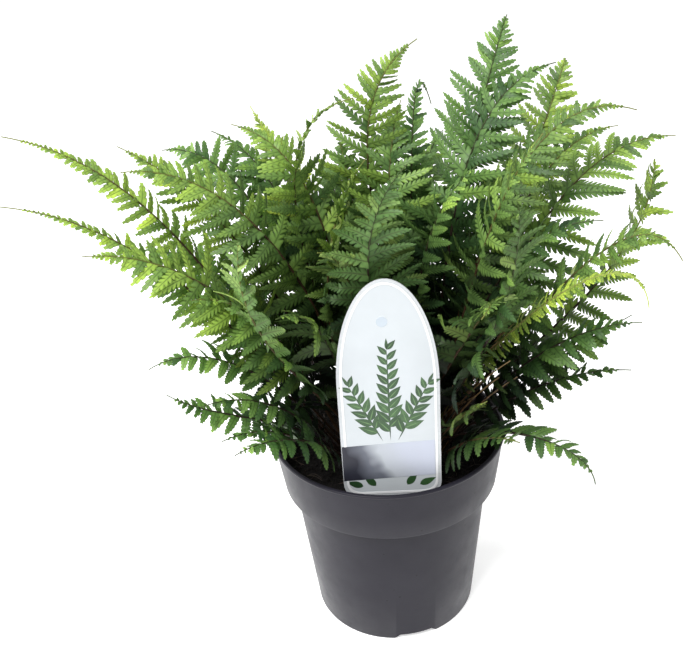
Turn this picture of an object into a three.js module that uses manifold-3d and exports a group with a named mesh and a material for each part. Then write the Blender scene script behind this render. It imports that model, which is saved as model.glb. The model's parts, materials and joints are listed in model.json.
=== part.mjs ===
// A shield fern in a round nursery pot: pot, soil, crown, plant label and fifty-six fronds.
// Millimetres, +Z up. The origin is the centre of the pot's base, and -Y is the label's side.
import * as THREE from 'three';
import { mergeVertices } from 'three/addons/utils/BufferGeometryUtils.js';
import Module from 'manifold-3d';

const wasm = await Module();
wasm.setup();

// The pot: a 12 cm thermoformed nursery pot with a deep collar and drainage notches at its foot
const RIM_RADIUS = 60;
const POT_HEIGHT = 107.5;
const COLLAR_HEIGHT = 28.5;
const COLLAR_FOOT_RADIUS = 56;
const BODY_TOP_RADIUS = 51;
const BASE_RADIUS = 43.5;
const WALL = 1.6;
const FLOOR = 1.8;
const LIP = 0.7;
const POT_SIDES = 40;
const NOTCH = { width: 26, topWidth: 17, height: 3, reach: 9, azimuths: [-77, 43, 163] };

// The soil, and the crown that the fronds grow from
const GAP = 0.35;
const SOIL_EDGE = 95;
const SOIL_RISE = 2;
const SOIL_SIDES = 32;
const CROWN_RADIUS = 32;
const CROWN_BOTTOM = 88;
const CROWN_TOP = 104;
const CROWN_EDGE = 98;

// The plant label, which stands in the soil inside the front of the rim
const LABEL = {
  width: 46.5, height: 112, archHeight: 52, cornerRadius: 8, thickness: 0.8,
  stakeWidth: 11, stakeLength: 34, tipLength: 8, x: 1, y: -45, foot: 97, lean: 2,
};

// A frond: a square stalk, then a blade of leaflets on a rib
const STALK_FOOT = 94;
// The first part of a stalk, which stands straight in its hole
const STRAIGHT_FOOT = 16;
const STALK_WIDTH = 1.8;
const RIB_WIDTH = 1.5;
const RIB_TIP_WIDTH = 0.7;
const LEAF_THICKNESS = 0.65;
const BLADE_SHARE = 0.72;
const STALK_STEPS = 4;
const PAIRS = { fewest: 7, most: 11, spacing: 12, broadShare: 0.45 };
const PAIR_CROWDING = 1.25;
// How far a frond's curve is pulled along its rising and its ending direction, as shares of its chord
const NEAR_PULL = 0.36;
const FAR_PULL = 0.32;
const BASE = { near: 4, spread: 30, power: 0.8, limit: 27, spacing: 5.2, push: 0.52, rounds: 300 };
const CLEARANCE = 0.3;
// A leaflet: its forward angle at the blade's foot and how much that grows towards the tip, then,
// as shares of its length or of the pairs' spacing, its belly's place, rise and half width, and its droop
const LEAFLET = { forward: 14, forwardGain: 24, belly: 0.52, rise: 0.03, bellyHalf: 0.38, droop: 0.14 };
// A blade's width along it: an arching blade, whose tip rises less than the first of the two angles,
// tapers to a tail, and one more upright than the second keeps its width nearly to its tip
const WIDTH_AT = { foot: 0.72, gain: 2.8, power: 4, least: 0.02, arching: 2, upright: 1, rises: [53, 70] };

// Each frond as it stands in the plant:
// azimuth, reach, tip height, rise of the stalk, rise of the tip, sweep of the tip,
// half width of the blade, turn of the blade, and its age from 0 (old, dark) to 1 (new, bright)
const FRONDS = [
  [190, 155, 275, 54, 16, 0, 22, 35, 0.8],
  [195, 160, 250, 58, 14, 0, 16, 30, 0.75],
  [205, 132, 232, 70, 8, 0, 31, 35, 0.75],
  [224, 78, 234, 68, 105, 0, 24, 0, 0.75],
  [178, 115, 260, 68, 28, 0, 31, 35, 0.75],
  [192, 110, 256, 88, 0, 0, 31, 40, 0.62],
  [160, 110, 248, 75, -10, 0, 36, 40, 0.32],
  [140, 78, 264, 75, 50, 0, 33, 0, 0.9],
  [160, 70, 262, 80, 10, 0, 31, 35, 0.45],
  [173, 8, 276, 72, 170, 0, 27, 0, 0.6],
  [55, 38, 294, 62, 30, -55, 34, -35, 0.55],
  [35, 78, 300, 68, 66, 0, 31, -35, 0.2],
  [20, 90, 280, 72, 5, 0, 36, -25, 0.3],
  [32, 112, 276, 60, 70, 0, 28, -25, 0.8],
  [0, 114, 264, 70, -20, 0, 24, -30, 0.5],
  [-25, 75, 265, 62, 55, 0, 30, -30, 0.5],
  [25, 135, 242, 62, -5, 0, 27, -20, 0.6],
  [8, 140, 246, 62, -8, 0, 36, -20, 0.55],
  [5, 128, 238, 50, 95, 0, 30, 0, 0.65],
  [-20, 133, 212, 58, -60, 0, 20, -20, 0.5],
  [-35, 127, 205, 78, -80, 0, 15, -20, 1],
  [-63, 85, 205, 75, -15, -60, 26, 0, 0.4],
  [-45, 78, 243, 62, 95, 0, 29, 0, 0.25],
  [-22, 120, 184, 60, 10, 0, 20, -20, 0.28],
  [-5, 118, 170, 55, 35, 0, 18, -20, 0.35],
  [-11, 118, 147, 50, 0, 0, 14, 0, 0.3],
  [-38, 114, 118, 85, -80, 0, 14, 0, 0.25],
  [-50, 88, 140, 50, 10, 0, 16, -10, 0.5],
  [-55, 75, 158, 55, 40, 0, 16, 0, 0.8],
  [202, 114, 171, 72, -22, 0, 18, 15, 0.35],
  [216, 100, 160, 58, 0, 0, 15, 15, 0.3],
  [198, 108, 152, 62, 45, 0, 14, 20, 0.35],
  [222, 98, 146, 52, 0, 0, 14, 10, 0.25],
  [228, 99, 144, 60, 0, 0, 17, 10, 0.35],
  [215, 5, 250, 60, 140, 0, 32, 40, 0.5],
  [-72, 42, 258, 75, 45, 68, 31, 0, 0.22],
  [232, 72, 200, 70, 5, 0, 31, 0, 0.45],
  [242, 54, 225, 76, 20, 0, 31, 0, 0.45],
  [-26, 85, 190, 66, -5, 0, 22, -15, 0.28],
  [-30, 70, 165, 68, -15, 0, 20, 0, 0.25],
  [209, 96, 205, 58, 0, 0, 33, 10, 0.55],
  [-12, 100, 222, 68, 0, 0, 33, -20, 0.2],
  [112, 45, 248, 82, 60, 0, 33, 0, 0.5],
  [75, 55, 262, 84, 20, 0, 33, 10, 0.5],
  [50, 43, 264, 72, -75, -50, 18, 0, 0.2],
  [-8, 46, 246, 80, 40, 0, 32, -15, 0.4],
  [-100, 22, 235, 84, 30, 0, 31, 20, 0.5],
];

// The rear of the plant, where low, high and middle fronds take turns.
// Each value with a wander is drawn that far to either side of its middle.
const REAR = {
  count: 9, firstAzimuth: 48, step: 15, seed: 2027,
  forms: [{ reach: 112, height: 160 }, { reach: 90, height: 241 }, { reach: 125, height: 205 }],
  launch: 66, tipRise: 5, halfWidth: 30, age: 0.3,
  wander: { azimuth: 4, reach: 14, launch: 6, tipRise: 15, halfWidth: 3, turn: 18, age: 0.25 },
};

const rad = THREE.MathUtils.degToRad;
const part = new THREE.Group();

function addPart(name, geometry, color, roughness) {
  const material = new THREE.MeshStandardMaterial({ color, roughness, metalness: 0 });
  const mesh = new THREE.Mesh(geometry, material);
  mesh.name = name;
  part.add(mesh);
}

function toManifold(geometry) {
  const plain = geometry.clone();
  plain.deleteAttribute('normal');
  plain.deleteAttribute('uv');
  const merged = mergeVertices(plain, 1e-4);
  return new wasm.Manifold(new wasm.Mesh({
    numProp: 3,
    vertProperties: new Float32Array(merged.getAttribute('position').array),
    triVerts: new Uint32Array(merged.index.array),
  }));
}

function fromManifold(solid) {
  const { vertProperties, triVerts } = solid.getMesh();
  return meshGeometry(vertProperties, triVerts);
}

function meshGeometry(positions, triangles) {
  const geometry = new THREE.BufferGeometry();
  geometry.setAttribute('position', new THREE.BufferAttribute(new Float32Array(positions), 3));
  geometry.setIndex(new THREE.BufferAttribute(new Uint32Array(triangles), 1));
  return geometry;
}

// A closed solid turned about Z from its half section, given as [radius, height] points
function turned(section, sides) {
  const points = section.map(([radius, height]) => new THREE.Vector2(radius, height));
  const geometry = new THREE.LatheGeometry(points, sides);
  return geometry.rotateX(Math.PI / 2);
}

// Random draws in 0 to 1 from a seed, the same on every run
function draws(seed) {
  const multiplier = 16807;
  const modulus = 2147483647;
  let state = seed;
  return () => {
    state = (state * multiplier) % modulus;
    return state / modulus;
  };
}

function makePot() {
  const collarFoot = POT_HEIGHT - COLLAR_HEIGHT;
  const ledge = collarFoot + WALL;
  const shell = toManifold(turned([
    [0, 0],
    [BASE_RADIUS, 0],
    [BODY_TOP_RADIUS, collarFoot],
    [COLLAR_FOOT_RADIUS, collarFoot],
    [RIM_RADIUS - LIP, POT_HEIGHT - 2 * LIP],
    [RIM_RADIUS, POT_HEIGHT - LIP],
    [RIM_RADIUS, POT_HEIGHT],
    [RIM_RADIUS - LIP - WALL, POT_HEIGHT],
    [COLLAR_FOOT_RADIUS - WALL, ledge],
    [BODY_TOP_RADIUS - WALL, ledge],
    [BASE_RADIUS - WALL, FLOOR],
    [0, FLOOR],
  ], POT_SIDES));
  const notches = NOTCH.azimuths.map((azimuth) => {
    const outline = new THREE.Shape([
      new THREE.Vector2(-NOTCH.width / 2, -1),
      new THREE.Vector2(NOTCH.width / 2, -1),
      new THREE.Vector2(NOTCH.topWidth / 2, NOTCH.height),
      new THREE.Vector2(-NOTCH.topWidth / 2, NOTCH.height),
    ]);
    const cutter = new THREE.ExtrudeGeometry(outline, { depth: NOTCH.reach, bevelEnabled: false });
    cutter.rotateX(Math.PI / 2).rotateZ(rad(azimuth + 90));
    const inner = BASE_RADIUS - NOTCH.reach / 2;
    cutter.translate(inner * Math.cos(rad(azimuth)), inner * Math.sin(rad(azimuth)), 0);
    return toManifold(cutter);
  });
  return notches.reduce((pot, notch) => pot.subtract(notch), shell);
}

function soilHeight(radius, angle) {
  const broad = 0.6 * Math.sin(3 * angle + 0.2 * radius);
  const fine = 0.4 * Math.cos(5 * angle - 0.3 * radius);
  return SOIL_EDGE + SOIL_RISE * (1 - radius / RIM_RADIUS) + broad + fine;
}

// The soil fills the pot, with a plain round pocket for the crown
function makeSoil() {
  const collarFoot = POT_HEIGHT - COLLAR_HEIGHT;
  const ledge = collarFoot + WALL;
  const collarSlope = (RIM_RADIUS - LIP - COLLAR_FOOT_RADIUS) / (COLLAR_HEIGHT - WALL);
  const edgeRadius = COLLAR_FOOT_RADIUS - WALL + collarSlope * (SOIL_EDGE - ledge) - GAP;
  const rings = [
    [BASE_RADIUS - WALL - GAP, FLOOR + GAP],
    [BODY_TOP_RADIUS - WALL - GAP, ledge + GAP],
    [COLLAR_FOOT_RADIUS - WALL - GAP, ledge + GAP],
    [edgeRadius, SOIL_EDGE - 1.2],
    [50, null],
    [41, null],
    [CROWN_RADIUS - 4, null],
  ];
  const positions = [0, 0, FLOOR + GAP];
  rings.forEach(([radius, height]) => {
    for (let side = 0; side < SOIL_SIDES; side++) {
      const angle = (2 * Math.PI * side) / SOIL_SIDES;
      const z = height ?? soilHeight(radius, angle);
      positions.push(radius * Math.cos(angle), radius * Math.sin(angle), z);
    }
  });
  positions.push(0, 0, SOIL_EDGE + SOIL_RISE);
  const top = positions.length / 3 - 1;
  const at = (ring, side) => 1 + ring * SOIL_SIDES + (side % SOIL_SIDES);
  const triangles = [];
  for (let side = 0; side < SOIL_SIDES; side++) {
    triangles.push(0, at(0, side + 1), at(0, side));
    for (let ring = 0; ring < rings.length - 1; ring++) {
      triangles.push(at(ring, side), at(ring, side + 1), at(ring + 1, side + 1));
      triangles.push(at(ring, side), at(ring + 1, side + 1), at(ring + 1, side));
    }
    triangles.push(at(rings.length - 1, side), at(rings.length - 1, side + 1), top);
  }
  const soil = toManifold(meshGeometry(positions, triangles));
  const pocket = toManifold(turned([
    [0, CROWN_BOTTOM - GAP],
    [CROWN_RADIUS + GAP, CROWN_BOTTOM - GAP],
    [CROWN_RADIUS + GAP, CROWN_TOP + 5],
    [0, CROWN_TOP + 5],
  ], SOIL_SIDES));
  return soil.subtract(pocket);
}

// The crown is a low rough mound of old stalk bases
function makeCrown() {
  const waist = CROWN_RADIUS * 0.6;
  return toManifold(turned([
    [0, CROWN_BOTTOM],
    [CROWN_RADIUS, CROWN_BOTTOM],
    [CROWN_RADIUS, CROWN_EDGE],
    [waist, CROWN_TOP - 1.5],
    [0, CROWN_TOP],
  ], 16));
}

function labelShape(width, stakeWidth, stakeEnd, growth) {
  const half = width / 2;
  const corner = LABEL.cornerRadius;
  const archFoot = LABEL.height - LABEL.archHeight;
  const shape = new THREE.Shape();
  shape.moveTo(0, stakeEnd - growth);
  shape.lineTo(stakeWidth / 2, stakeEnd + LABEL.tipLength);
  shape.lineTo(stakeWidth / 2, 0);
  shape.lineTo(half - corner, 0);
  shape.quadraticCurveTo(half, 0, half, corner);
  shape.lineTo(half, archFoot);
  shape.absellipse(0, archFoot, half, LABEL.archHeight, 0, Math.PI, false);
  shape.lineTo(-half, corner);
  shape.quadraticCurveTo(-half, 0, -half + corner, 0);
  shape.lineTo(-stakeWidth / 2, 0);
  shape.lineTo(-stakeWidth / 2, stakeEnd + LABEL.tipLength);
  shape.closePath();
  return shape;
}

// The label and the slot that its stake leaves in the soil are the same form at two sizes
function makeLabel(growth) {
  const shape = labelShape(LABEL.width, LABEL.stakeWidth + 2 * growth, -LABEL.stakeLength, growth);
  const thickness = LABEL.thickness + 2 * growth;
  const options = { depth: thickness, bevelEnabled: false, curveSegments: 6 };
  const geometry = new THREE.ExtrudeGeometry(shape, options);
  geometry.translate(0, 0, -thickness / 2).rotateX(Math.PI / 2 - rad(LABEL.lean));
  return toManifold(geometry.translate(LABEL.x, LABEL.y, LABEL.foot));
}

function rearFronds() {
  const draw = draws(REAR.seed);
  const around = (size) => size * (2 * draw() - 1);
  const { wander } = REAR;
  return range(0, REAR.count).map((index) => {
    const form = REAR.forms[index % REAR.forms.length];
    return [
      REAR.firstAzimuth + REAR.step * index + around(wander.azimuth),
      form.reach + around(wander.reach),
      form.height + around(wander.reach),
      REAR.launch + around(wander.launch),
      REAR.tipRise + around(wander.tipRise),
      0,
      REAR.halfWidth + around(wander.halfWidth),
      around(wander.turn),
      REAR.age + around(wander.age),
    ];
  });
}

// Stalks stand apart on the crown, the flattest outermost: each starts towards its own azimuth,
// then they push each other clear
function stalkBases(fronds) {
  const bases = fronds.map(([azimuth, reach, height]) => {
    const lean = 1 - Math.atan2(height - STALK_FOOT, reach) / (Math.PI / 2);
    const radius = BASE.near + BASE.spread * Math.pow(lean, BASE.power);
    return [radius * Math.cos(rad(azimuth)), radius * Math.sin(rad(azimuth))];
  });
  for (let round = 0; round < BASE.rounds; round++) {
    for (let i = 0; i < bases.length; i++) {
      for (let j = 0; j < i; j++) {
        const dx = bases[i][0] - bases[j][0];
        const dy = bases[i][1] - bases[j][1];
        const apart = Math.hypot(dx, dy);
        if (apart < BASE.spacing) {
          const push = (BASE.push * (BASE.spacing - apart)) / apart;
          bases[i] = [bases[i][0] + push * dx, bases[i][1] + push * dy];
          bases[j] = [bases[j][0] - push * dx, bases[j][1] - push * dy];
        }
      }
    }
    bases.forEach((base) => {
      const radius = Math.hypot(base[0], base[1]);
      if (radius > BASE.limit) {
        base[0] *= BASE.limit / radius;
        base[1] *= BASE.limit / radius;
      }
    });
  }
  return bases;
}

// A frond's middle line, which gives its place and its three directions at a length from the foot
class Spine {
  constructor([azimuth, reach, height, launch, tipRise, sweep, , turn], base) {
    const out = new THREE.Vector3(Math.cos(rad(azimuth)), Math.sin(rad(azimuth)), 0);
    const tipOut = new THREE.Vector3(Math.cos(rad(azimuth + sweep)), Math.sin(rad(azimuth + sweep)), 0);
    const up = new THREE.Vector3(0, 0, 1);
    const foot = new THREE.Vector3(base[0], base[1], STALK_FOOT);
    const tip = out.clone().multiplyScalar(reach).setZ(height);
    const chord = foot.distanceTo(tip);
    const origin = new THREE.Vector3();
    const rising = moved(origin, out, Math.cos(rad(launch)), up, Math.sin(rad(launch)));
    const ending = moved(origin, tipOut, Math.cos(rad(tipRise)), up, Math.sin(rad(tipRise)));
    this.curve = new THREE.CubicBezierCurve3(
      foot,
      foot.clone().addScaledVector(rising, NEAR_PULL * chord),
      tip.clone().addScaledVector(ending, -FAR_PULL * chord),
      tip,
    );
    this.across = new THREE.Vector3(-out.y, out.x, 0);
    this.turn = rad(turn);
    this.steps = 200;
    this.lengths = this.curve.getLengths(this.steps);
    this.length = this.lengths[this.steps];
  }

  at(length) {
    let step = 0;
    while (step < this.steps - 1 && this.lengths[step + 1] < length) step++;
    const inStep = (length - this.lengths[step]) / (this.lengths[step + 1] - this.lengths[step]);
    const t = Math.min((step + inStep) / this.steps, 1);
    const along = this.curve.getTangent(t);
    const side = this.across.clone().addScaledVector(along, -this.across.dot(along)).normalize();
    const face = new THREE.Vector3().crossVectors(along, side);
    const cos = Math.cos(this.turn);
    const sin = Math.sin(this.turn);
    return {
      place: this.curve.getPoint(t),
      along,
      side: side.clone().multiplyScalar(cos).addScaledVector(face, -sin),
      face: face.multiplyScalar(cos).addScaledVector(side, sin),
    };
  }
}

// How fast a blade tapers, from how upright its tip is
function bladeTaper(tipRise) {
  const [low, high] = WIDTH_AT.rises.map((rise) => Math.sin(rad(rise)));
  const upright = THREE.MathUtils.clamp((Math.sin(rad(tipRise)) - low) / (high - low), 0, 1);
  return THREE.MathUtils.lerp(WIDTH_AT.arching, WIDTH_AT.upright, upright);
}

// How wide the blade is at a share of its length, beside its widest
function bladeWidth(share, taper) {
  const foot = Math.min(WIDTH_AT.foot + WIDTH_AT.gain * share, 1);
  return foot * Math.pow(1 - Math.pow(share, WIDTH_AT.power), taper) + WIDTH_AT.least;
}

function moved(origin, ...steps) {
  const point = origin.clone();
  for (let i = 0; i < steps.length; i += 2) point.addScaledVector(steps[i], steps[i + 1]);
  return point;
}

// A leaflet's corners on its upper and lower face. It lies in the blade's plane, tilted about the rib,
// and droops.
function leafletCorners(frond, pair, sign, tilt, scale, swell) {
  const start = frond.stations[pair];
  const end = frond.stations[pair + 1];
  const middle = frond.spine.at((start.length + end.length) / 2);
  const share = (pair + 0.5) / frond.pairs;
  const full = frond.halfWidth * bladeWidth(frond.shareAt(pair + 0.5), frond.taper);
  const reach = full * scale + swell;
  const pitch = end.length - start.length;
  const forward = rad(LEAFLET.forward + LEAFLET.forwardGain * share);
  const origin = new THREE.Vector3();
  const out = moved(origin, middle.side, sign * Math.cos(forward), middle.along, Math.sin(forward));
  const leaf = moved(origin, out, Math.cos(tilt), middle.face, Math.sin(tilt));
  const lift = moved(origin, middle.face, Math.cos(tilt), out, -Math.sin(tilt));
  const half = LEAF_THICKNESS / 2 + swell;
  const tip = moved(middle.place, leaf, reach, lift, -LEAFLET.droop * reach);
  const outline = [tip];
  if (pair < PAIRS.broadShare * frond.pairs) {
    const belly = moved(middle.place, leaf, LEAFLET.belly * reach, lift, LEAFLET.rise * reach);
    const breadth = LEAFLET.bellyHalf * pitch + swell;
    outline.unshift(moved(belly, middle.along, -breadth));
    outline.push(moved(belly, middle.along, breadth));
  }
  return {
    upper: outline.map((point) => moved(point, lift, half)),
    lower: outline.map((point) => moved(point, lift, -half)),
  };
}

function ribCorners(station, swell) {
  const { place, side, face } = station.frame;
  const half = station.width / 2 + swell;
  return [[1, 1], [1, -1], [-1, -1], [-1, 1]].map(([s, f]) => moved(place, side, s * half, face, f * half));
}

// Corner numbers in ribCorners of the edge that a leaflet grows from: upper and lower, by side
const LEFT = { upper: 0, lower: 1, sign: 1 };
const RIGHT = { upper: 3, lower: 2, sign: -1 };

// Triangles of a leaflet, from its outline's corner numbers in order from one root end to the other
function leafletTriangles(upper, lower, flip) {
  const triangles = [];
  const count = upper.length;
  const fan = count === 5 ? [[0, 1, 3], [0, 3, 4], [1, 2, 3]] : [[0, 1, 2]];
  fan.forEach(([a, b, c]) => {
    triangles.push([upper[a], upper[b], upper[c]], [lower[a], lower[c], lower[b]]);
  });
  for (let i = 0; i < count - 1; i++) {
    triangles.push([upper[i], lower[i], lower[i + 1]], [upper[i], lower[i + 1], upper[i + 1]]);
  }
  return flip ? triangles.map(([a, b, c]) => [a, c, b]) : triangles;
}

// One solid of a leaflet by itself, to test what it would cross
function leafletSolid(frond, pair, edge, tilt, scale, swell) {
  const corners = leafletCorners(frond, pair, edge.sign, tilt, scale, swell);
  const start = ribCorners(frond.stations[pair], 0);
  const end = ribCorners(frond.stations[pair + 1], 0);
  const upper = [start[edge.upper], ...corners.upper, end[edge.upper]];
  const lower = [start[edge.lower], ...corners.lower, end[edge.lower]];
  const count = upper.length;
  const flip = edge === LEFT;
  const triangles = leafletTriangles(range(0, count), range(count, count), flip);
  const root = [[0, count - 1, 2 * count - 1], [0, 2 * count - 1, count]];
  root.forEach(([a, b, c]) => triangles.push(flip ? [a, c, b] : [a, b, c]));
  return testSolid([...upper, ...lower], triangles);
}

function range(first, count) {
  return Array.from({ length: count }, (_, index) => first + index);
}

const BOX_SIDES = [
  [0, 5, 1], [0, 4, 5], [1, 6, 2], [1, 5, 6], [2, 7, 3], [2, 6, 7], [3, 4, 0], [3, 7, 4],
];
const BOX_ENDS = [[0, 2, 3], [0, 1, 2], [4, 6, 5], [4, 7, 6]];

function ribSolid(frond, index, swell) {
  const start = ribCorners(frond.stations[index], swell);
  const end = ribCorners(frond.stations[index + 1], swell);
  return testSolid([...start, ...end], [...BOX_SIDES, ...BOX_ENDS]);
}

function testSolid(points, triangles) {
  const solid = new wasm.Manifold(new wasm.Mesh({
    numProp: 3,
    vertProperties: new Float32Array(points.flatMap((point) => point.toArray())),
    triVerts: new Uint32Array(triangles.flat()),
  }));
  return { solid, box: new THREE.Box3().setFromPoints(points) };
}

function crosses(candidate, others) {
  return others.some((other) => {
    if (!candidate.box.intersectsBox(other.box)) return false;
    const shared = candidate.solid.intersect(other.solid);
    const hit = !shared.isEmpty();
    shared.delete();
    return hit;
  });
}

function layOut(row, base) {
  const spine = new Spine(row, base);
  const bladeStart = spine.length * (1 - BLADE_SHARE);
  const bladeLength = spine.length - bladeStart;
  const pairs = THREE.MathUtils.clamp(Math.round(bladeLength / PAIRS.spacing), PAIRS.fewest, PAIRS.most);
  const shareAt = (pair) => 1 - Math.pow(1 - pair / pairs, PAIR_CROWDING);
  const aboveFoot = (bladeStart - STRAIGHT_FOOT) / (STALK_STEPS - 1);
  const stalk = range(0, STALK_STEPS).map((step) => ({
    length: step === 0 ? 0 : STRAIGHT_FOOT + aboveFoot * (step - 1),
    width: STALK_WIDTH,
  }));
  const blade = range(0, pairs + 1).map((pair) => ({
    length: bladeStart + bladeLength * shareAt(pair),
    width: RIB_WIDTH + (RIB_TIP_WIDTH - RIB_WIDTH) * (pair / pairs),
  }));
  [...stalk, ...blade].forEach((station) => { station.frame = spine.at(station.length); });
  stalk[0].frame = { ...stalk[1].frame, place: stalk[0].frame.place };
  const [, , , , tipRise, , halfWidth, , age] = row;
  return { spine, pairs, stalk, stations: blade, shareAt, halfWidth, taper: bladeTaper(tipRise), age };
}

// Chooses how each leaflet of a frond tilts, so that it clears all that stands already
const TILTS = [0, 12, -12, 24, -24, 38, -38, 54, -54].map(rad);
const SCALES = [1, 0.7, 0.45];

function settleLeaflets(frond, fixed, ribs, leaflets) {
  const own = [];
  frond.leaflets = range(0, frond.pairs).map((pair) => [LEFT, RIGHT].map((edge) => {
    for (const scale of SCALES) {
      for (const tilt of TILTS) {
        const wide = leafletSolid(frond, pair, edge, tilt, scale, CLEARANCE / 2);
        const beside = own.filter((other) => other.pair < pair - 1);
        const clear = ![fixed, ribs, leaflets, beside].some((others) => crosses(wide, others));
        if (clear) {
          own.push({ ...wide, pair, edge });
          return { tilt, scale };
        }
        wide.solid.delete();
      }
    }
    return null;
  }));
  leaflets.push(...own);
}

function frondGeometry(frond) {
  const points = [];
  const triangles = [];
  const stations = [...frond.stalk, ...frond.stations];
  const first = frond.stalk.length;
  const rings = stations.map((station) => {
    const start = points.length;
    points.push(...ribCorners(station, 0));
    return range(start, 4);
  });
  const quad = (a, b, c, d) => triangles.push([a, c, b], [a, d, c]);
  rings.slice(0, -1).forEach((ring, index) => {
    const next = rings[index + 1];
    quad(ring[3], ring[0], next[0], next[3]);
    quad(ring[1], ring[2], next[2], next[1]);
    [LEFT, RIGHT].forEach((edge, side) => {
      const flip = edge === LEFT;
      const pair = index - first;
      const leaflet = pair >= 0 ? frond.leaflets[pair][side] : null;
      if (leaflet) {
        const corners = leafletCorners(frond, pair, edge.sign, leaflet.tilt, leaflet.scale, 0);
        const upperStart = points.length;
        points.push(...corners.upper);
        const lowerStart = points.length;
        points.push(...corners.lower);
        const upper = [ring[edge.upper], ...range(upperStart, corners.upper.length), next[edge.upper]];
        const lower = [ring[edge.lower], ...range(lowerStart, corners.lower.length), next[edge.lower]];
        triangles.push(...leafletTriangles(upper, lower, flip));
      } else if (flip) {
        quad(ring[0], ring[1], next[1], next[0]);
      } else {
        quad(ring[2], ring[3], next[3], next[2]);
      }
    });
  });
  const last = rings[rings.length - 1];
  quad(rings[0][0], rings[0][3], rings[0][2], rings[0][1]);
  quad(last[0], last[1], last[2], last[3]);
  return meshGeometry(points.flatMap((point) => point.toArray()), triangles.flat());
}

const OLD_GREEN = new THREE.Color(0x2c5a2a);
const NEW_GREEN = new THREE.Color(0x9cc455);

const rows = [...FRONDS, ...rearFronds()];
const bases = stalkBases(rows);
const fronds = rows.map((row, index) => layOut(row, bases[index]));

const pot = makePot();
const label = makeLabel(0);
const holes = fronds.map((frond) => {
  const foot = frond.stalk[0];
  const place = moved(foot.frame.place, foot.frame.along, -GAP);
  const below = { ...foot, frame: { ...foot.frame, place } };
  const corners = [...ribCorners(below, GAP), ...ribCorners(frond.stalk[1], GAP)];
  return testSolid(corners, [...BOX_SIDES, ...BOX_ENDS]).solid;
});
const soil = holes.reduce((solid, hole) => solid.subtract(hole), makeSoil().subtract(makeLabel(GAP)));
const crown = holes.reduce((solid, hole) => solid.subtract(hole), makeCrown());

const fixed = [pot, soil, crown, label].map((solid) => {
  const { min, max } = solid.boundingBox();
  return { solid, box: new THREE.Box3(new THREE.Vector3(...min), new THREE.Vector3(...max)) };
});
const ribs = fronds.map((frond) => range(0, frond.pairs).map((pair) => ribSolid(frond, pair, CLEARANCE)));
const stalks = fronds.map((frond) => {
  const stations = [...frond.stalk, frond.stations[0]];
  return range(0, stations.length - 1).map((step) => ribSolid({ stations }, step, CLEARANCE));
});
const leaflets = [];
fronds.forEach((frond, index) => {
  const others = range(0, fronds.length).filter((other) => other !== index);
  settleLeaflets(frond, fixed, others.flatMap((other) => [...ribs[other], ...stalks[other]]), leaflets);
});

addPart('pot', fromManifold(pot), 0x46464d, 0.5);
addPart('soil', fromManifold(soil), 0x171312, 1);
addPart('crown', fromManifold(crown), 0x3a2a1c, 0.95);
addPart('label', fromManifold(label), 0xf2f5f7, 0.4);
fronds.forEach((frond, index) => {
  const color = OLD_GREEN.clone().lerp(NEW_GREEN, frond.age);
  addPart(`frond_${String(index + 1).padStart(2, '0')}`, frondGeometry(frond), color, 0.6);
});

export default part;
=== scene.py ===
import json
import math

import bpy
import numpy as np
from mathutils import Matrix, Vector


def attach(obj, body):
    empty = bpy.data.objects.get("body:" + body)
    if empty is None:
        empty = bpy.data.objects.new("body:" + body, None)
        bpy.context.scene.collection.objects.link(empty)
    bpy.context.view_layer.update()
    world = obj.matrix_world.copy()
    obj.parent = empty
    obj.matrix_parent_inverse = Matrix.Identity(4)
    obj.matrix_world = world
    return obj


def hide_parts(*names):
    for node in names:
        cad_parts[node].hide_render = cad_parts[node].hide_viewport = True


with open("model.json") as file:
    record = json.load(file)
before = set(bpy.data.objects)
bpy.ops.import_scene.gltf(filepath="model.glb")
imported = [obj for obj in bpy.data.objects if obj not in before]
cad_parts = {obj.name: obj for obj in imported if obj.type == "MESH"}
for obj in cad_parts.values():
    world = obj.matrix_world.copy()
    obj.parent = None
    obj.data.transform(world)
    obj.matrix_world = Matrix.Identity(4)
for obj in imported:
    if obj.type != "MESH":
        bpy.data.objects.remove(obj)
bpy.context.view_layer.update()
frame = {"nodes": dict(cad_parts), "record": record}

# Lengths are in millimetres here, except where a comment says metres. A mesh is scaled as it is made.
MM = 0.001
SEED = 4127

# The pot, the same form as its solid with a finer wall
RIM_RADIUS = 60
POT_HEIGHT = 107.5
COLLAR_HEIGHT = 28.5
COLLAR_FOOT = POT_HEIGHT - COLLAR_HEIGHT
COLLAR_FOOT_RADIUS = 56
BODY_TOP_RADIUS = 51
BASE_RADIUS = 43.5
BASE_RING = 38
WALL = 1.6
LEDGE = COLLAR_FOOT + WALL
FLOOR = 1.8
LIP = 0.7
POT_SIDES = 192
NOTCH = {"width": 26, "top_width": 17, "height": 3, "reach": 9, "azimuths": (-77, 43, 163)}

# The soil and the crown, and the small pieces strewn over them
GAP = 0.35
SOIL = {"edge": 95, "rise": 2, "sides": 144, "rings": 48, "roughness": 0.35, "ripple": 0.4}
CRUMBS = {
    "count": 1700, "inner": 27, "width": 30, "edge": 56.5, "least": 0.45, "gain": 1.1, "power": 2.5,
    "uneven": (0.6, 1.25), "stretch": ((0.7, 0.7, 0.5), (1.3, 1.1, 0.9)),
}
FIBRES = {
    "count": 130, "radius": (34, 54), "edge": 55.5, "length": (3, 10), "bend": 0.12,
    "thickness": (0.12, 0.28),
}
CROWN = {"radius": 32, "bottom": 88, "top": 104, "edge": 98, "sides": 64, "wear": 0.9}
CROWN_SCALES = {"count": 900, "lean": (0.2, 1.1), "turn": 0.7, "length": (2.5, 6.5), "width": (0.8, 1.8)}
DRY = {
    "count": 34, "azimuth": (-44, -2), "length": (45, 88), "rise": (66, 84), "drop": (4, 20),
    "foot": (16, 30), "sway": 0.08, "radii": (0.55, 0.25), "steps": 14, "sides": 5,
}

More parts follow.
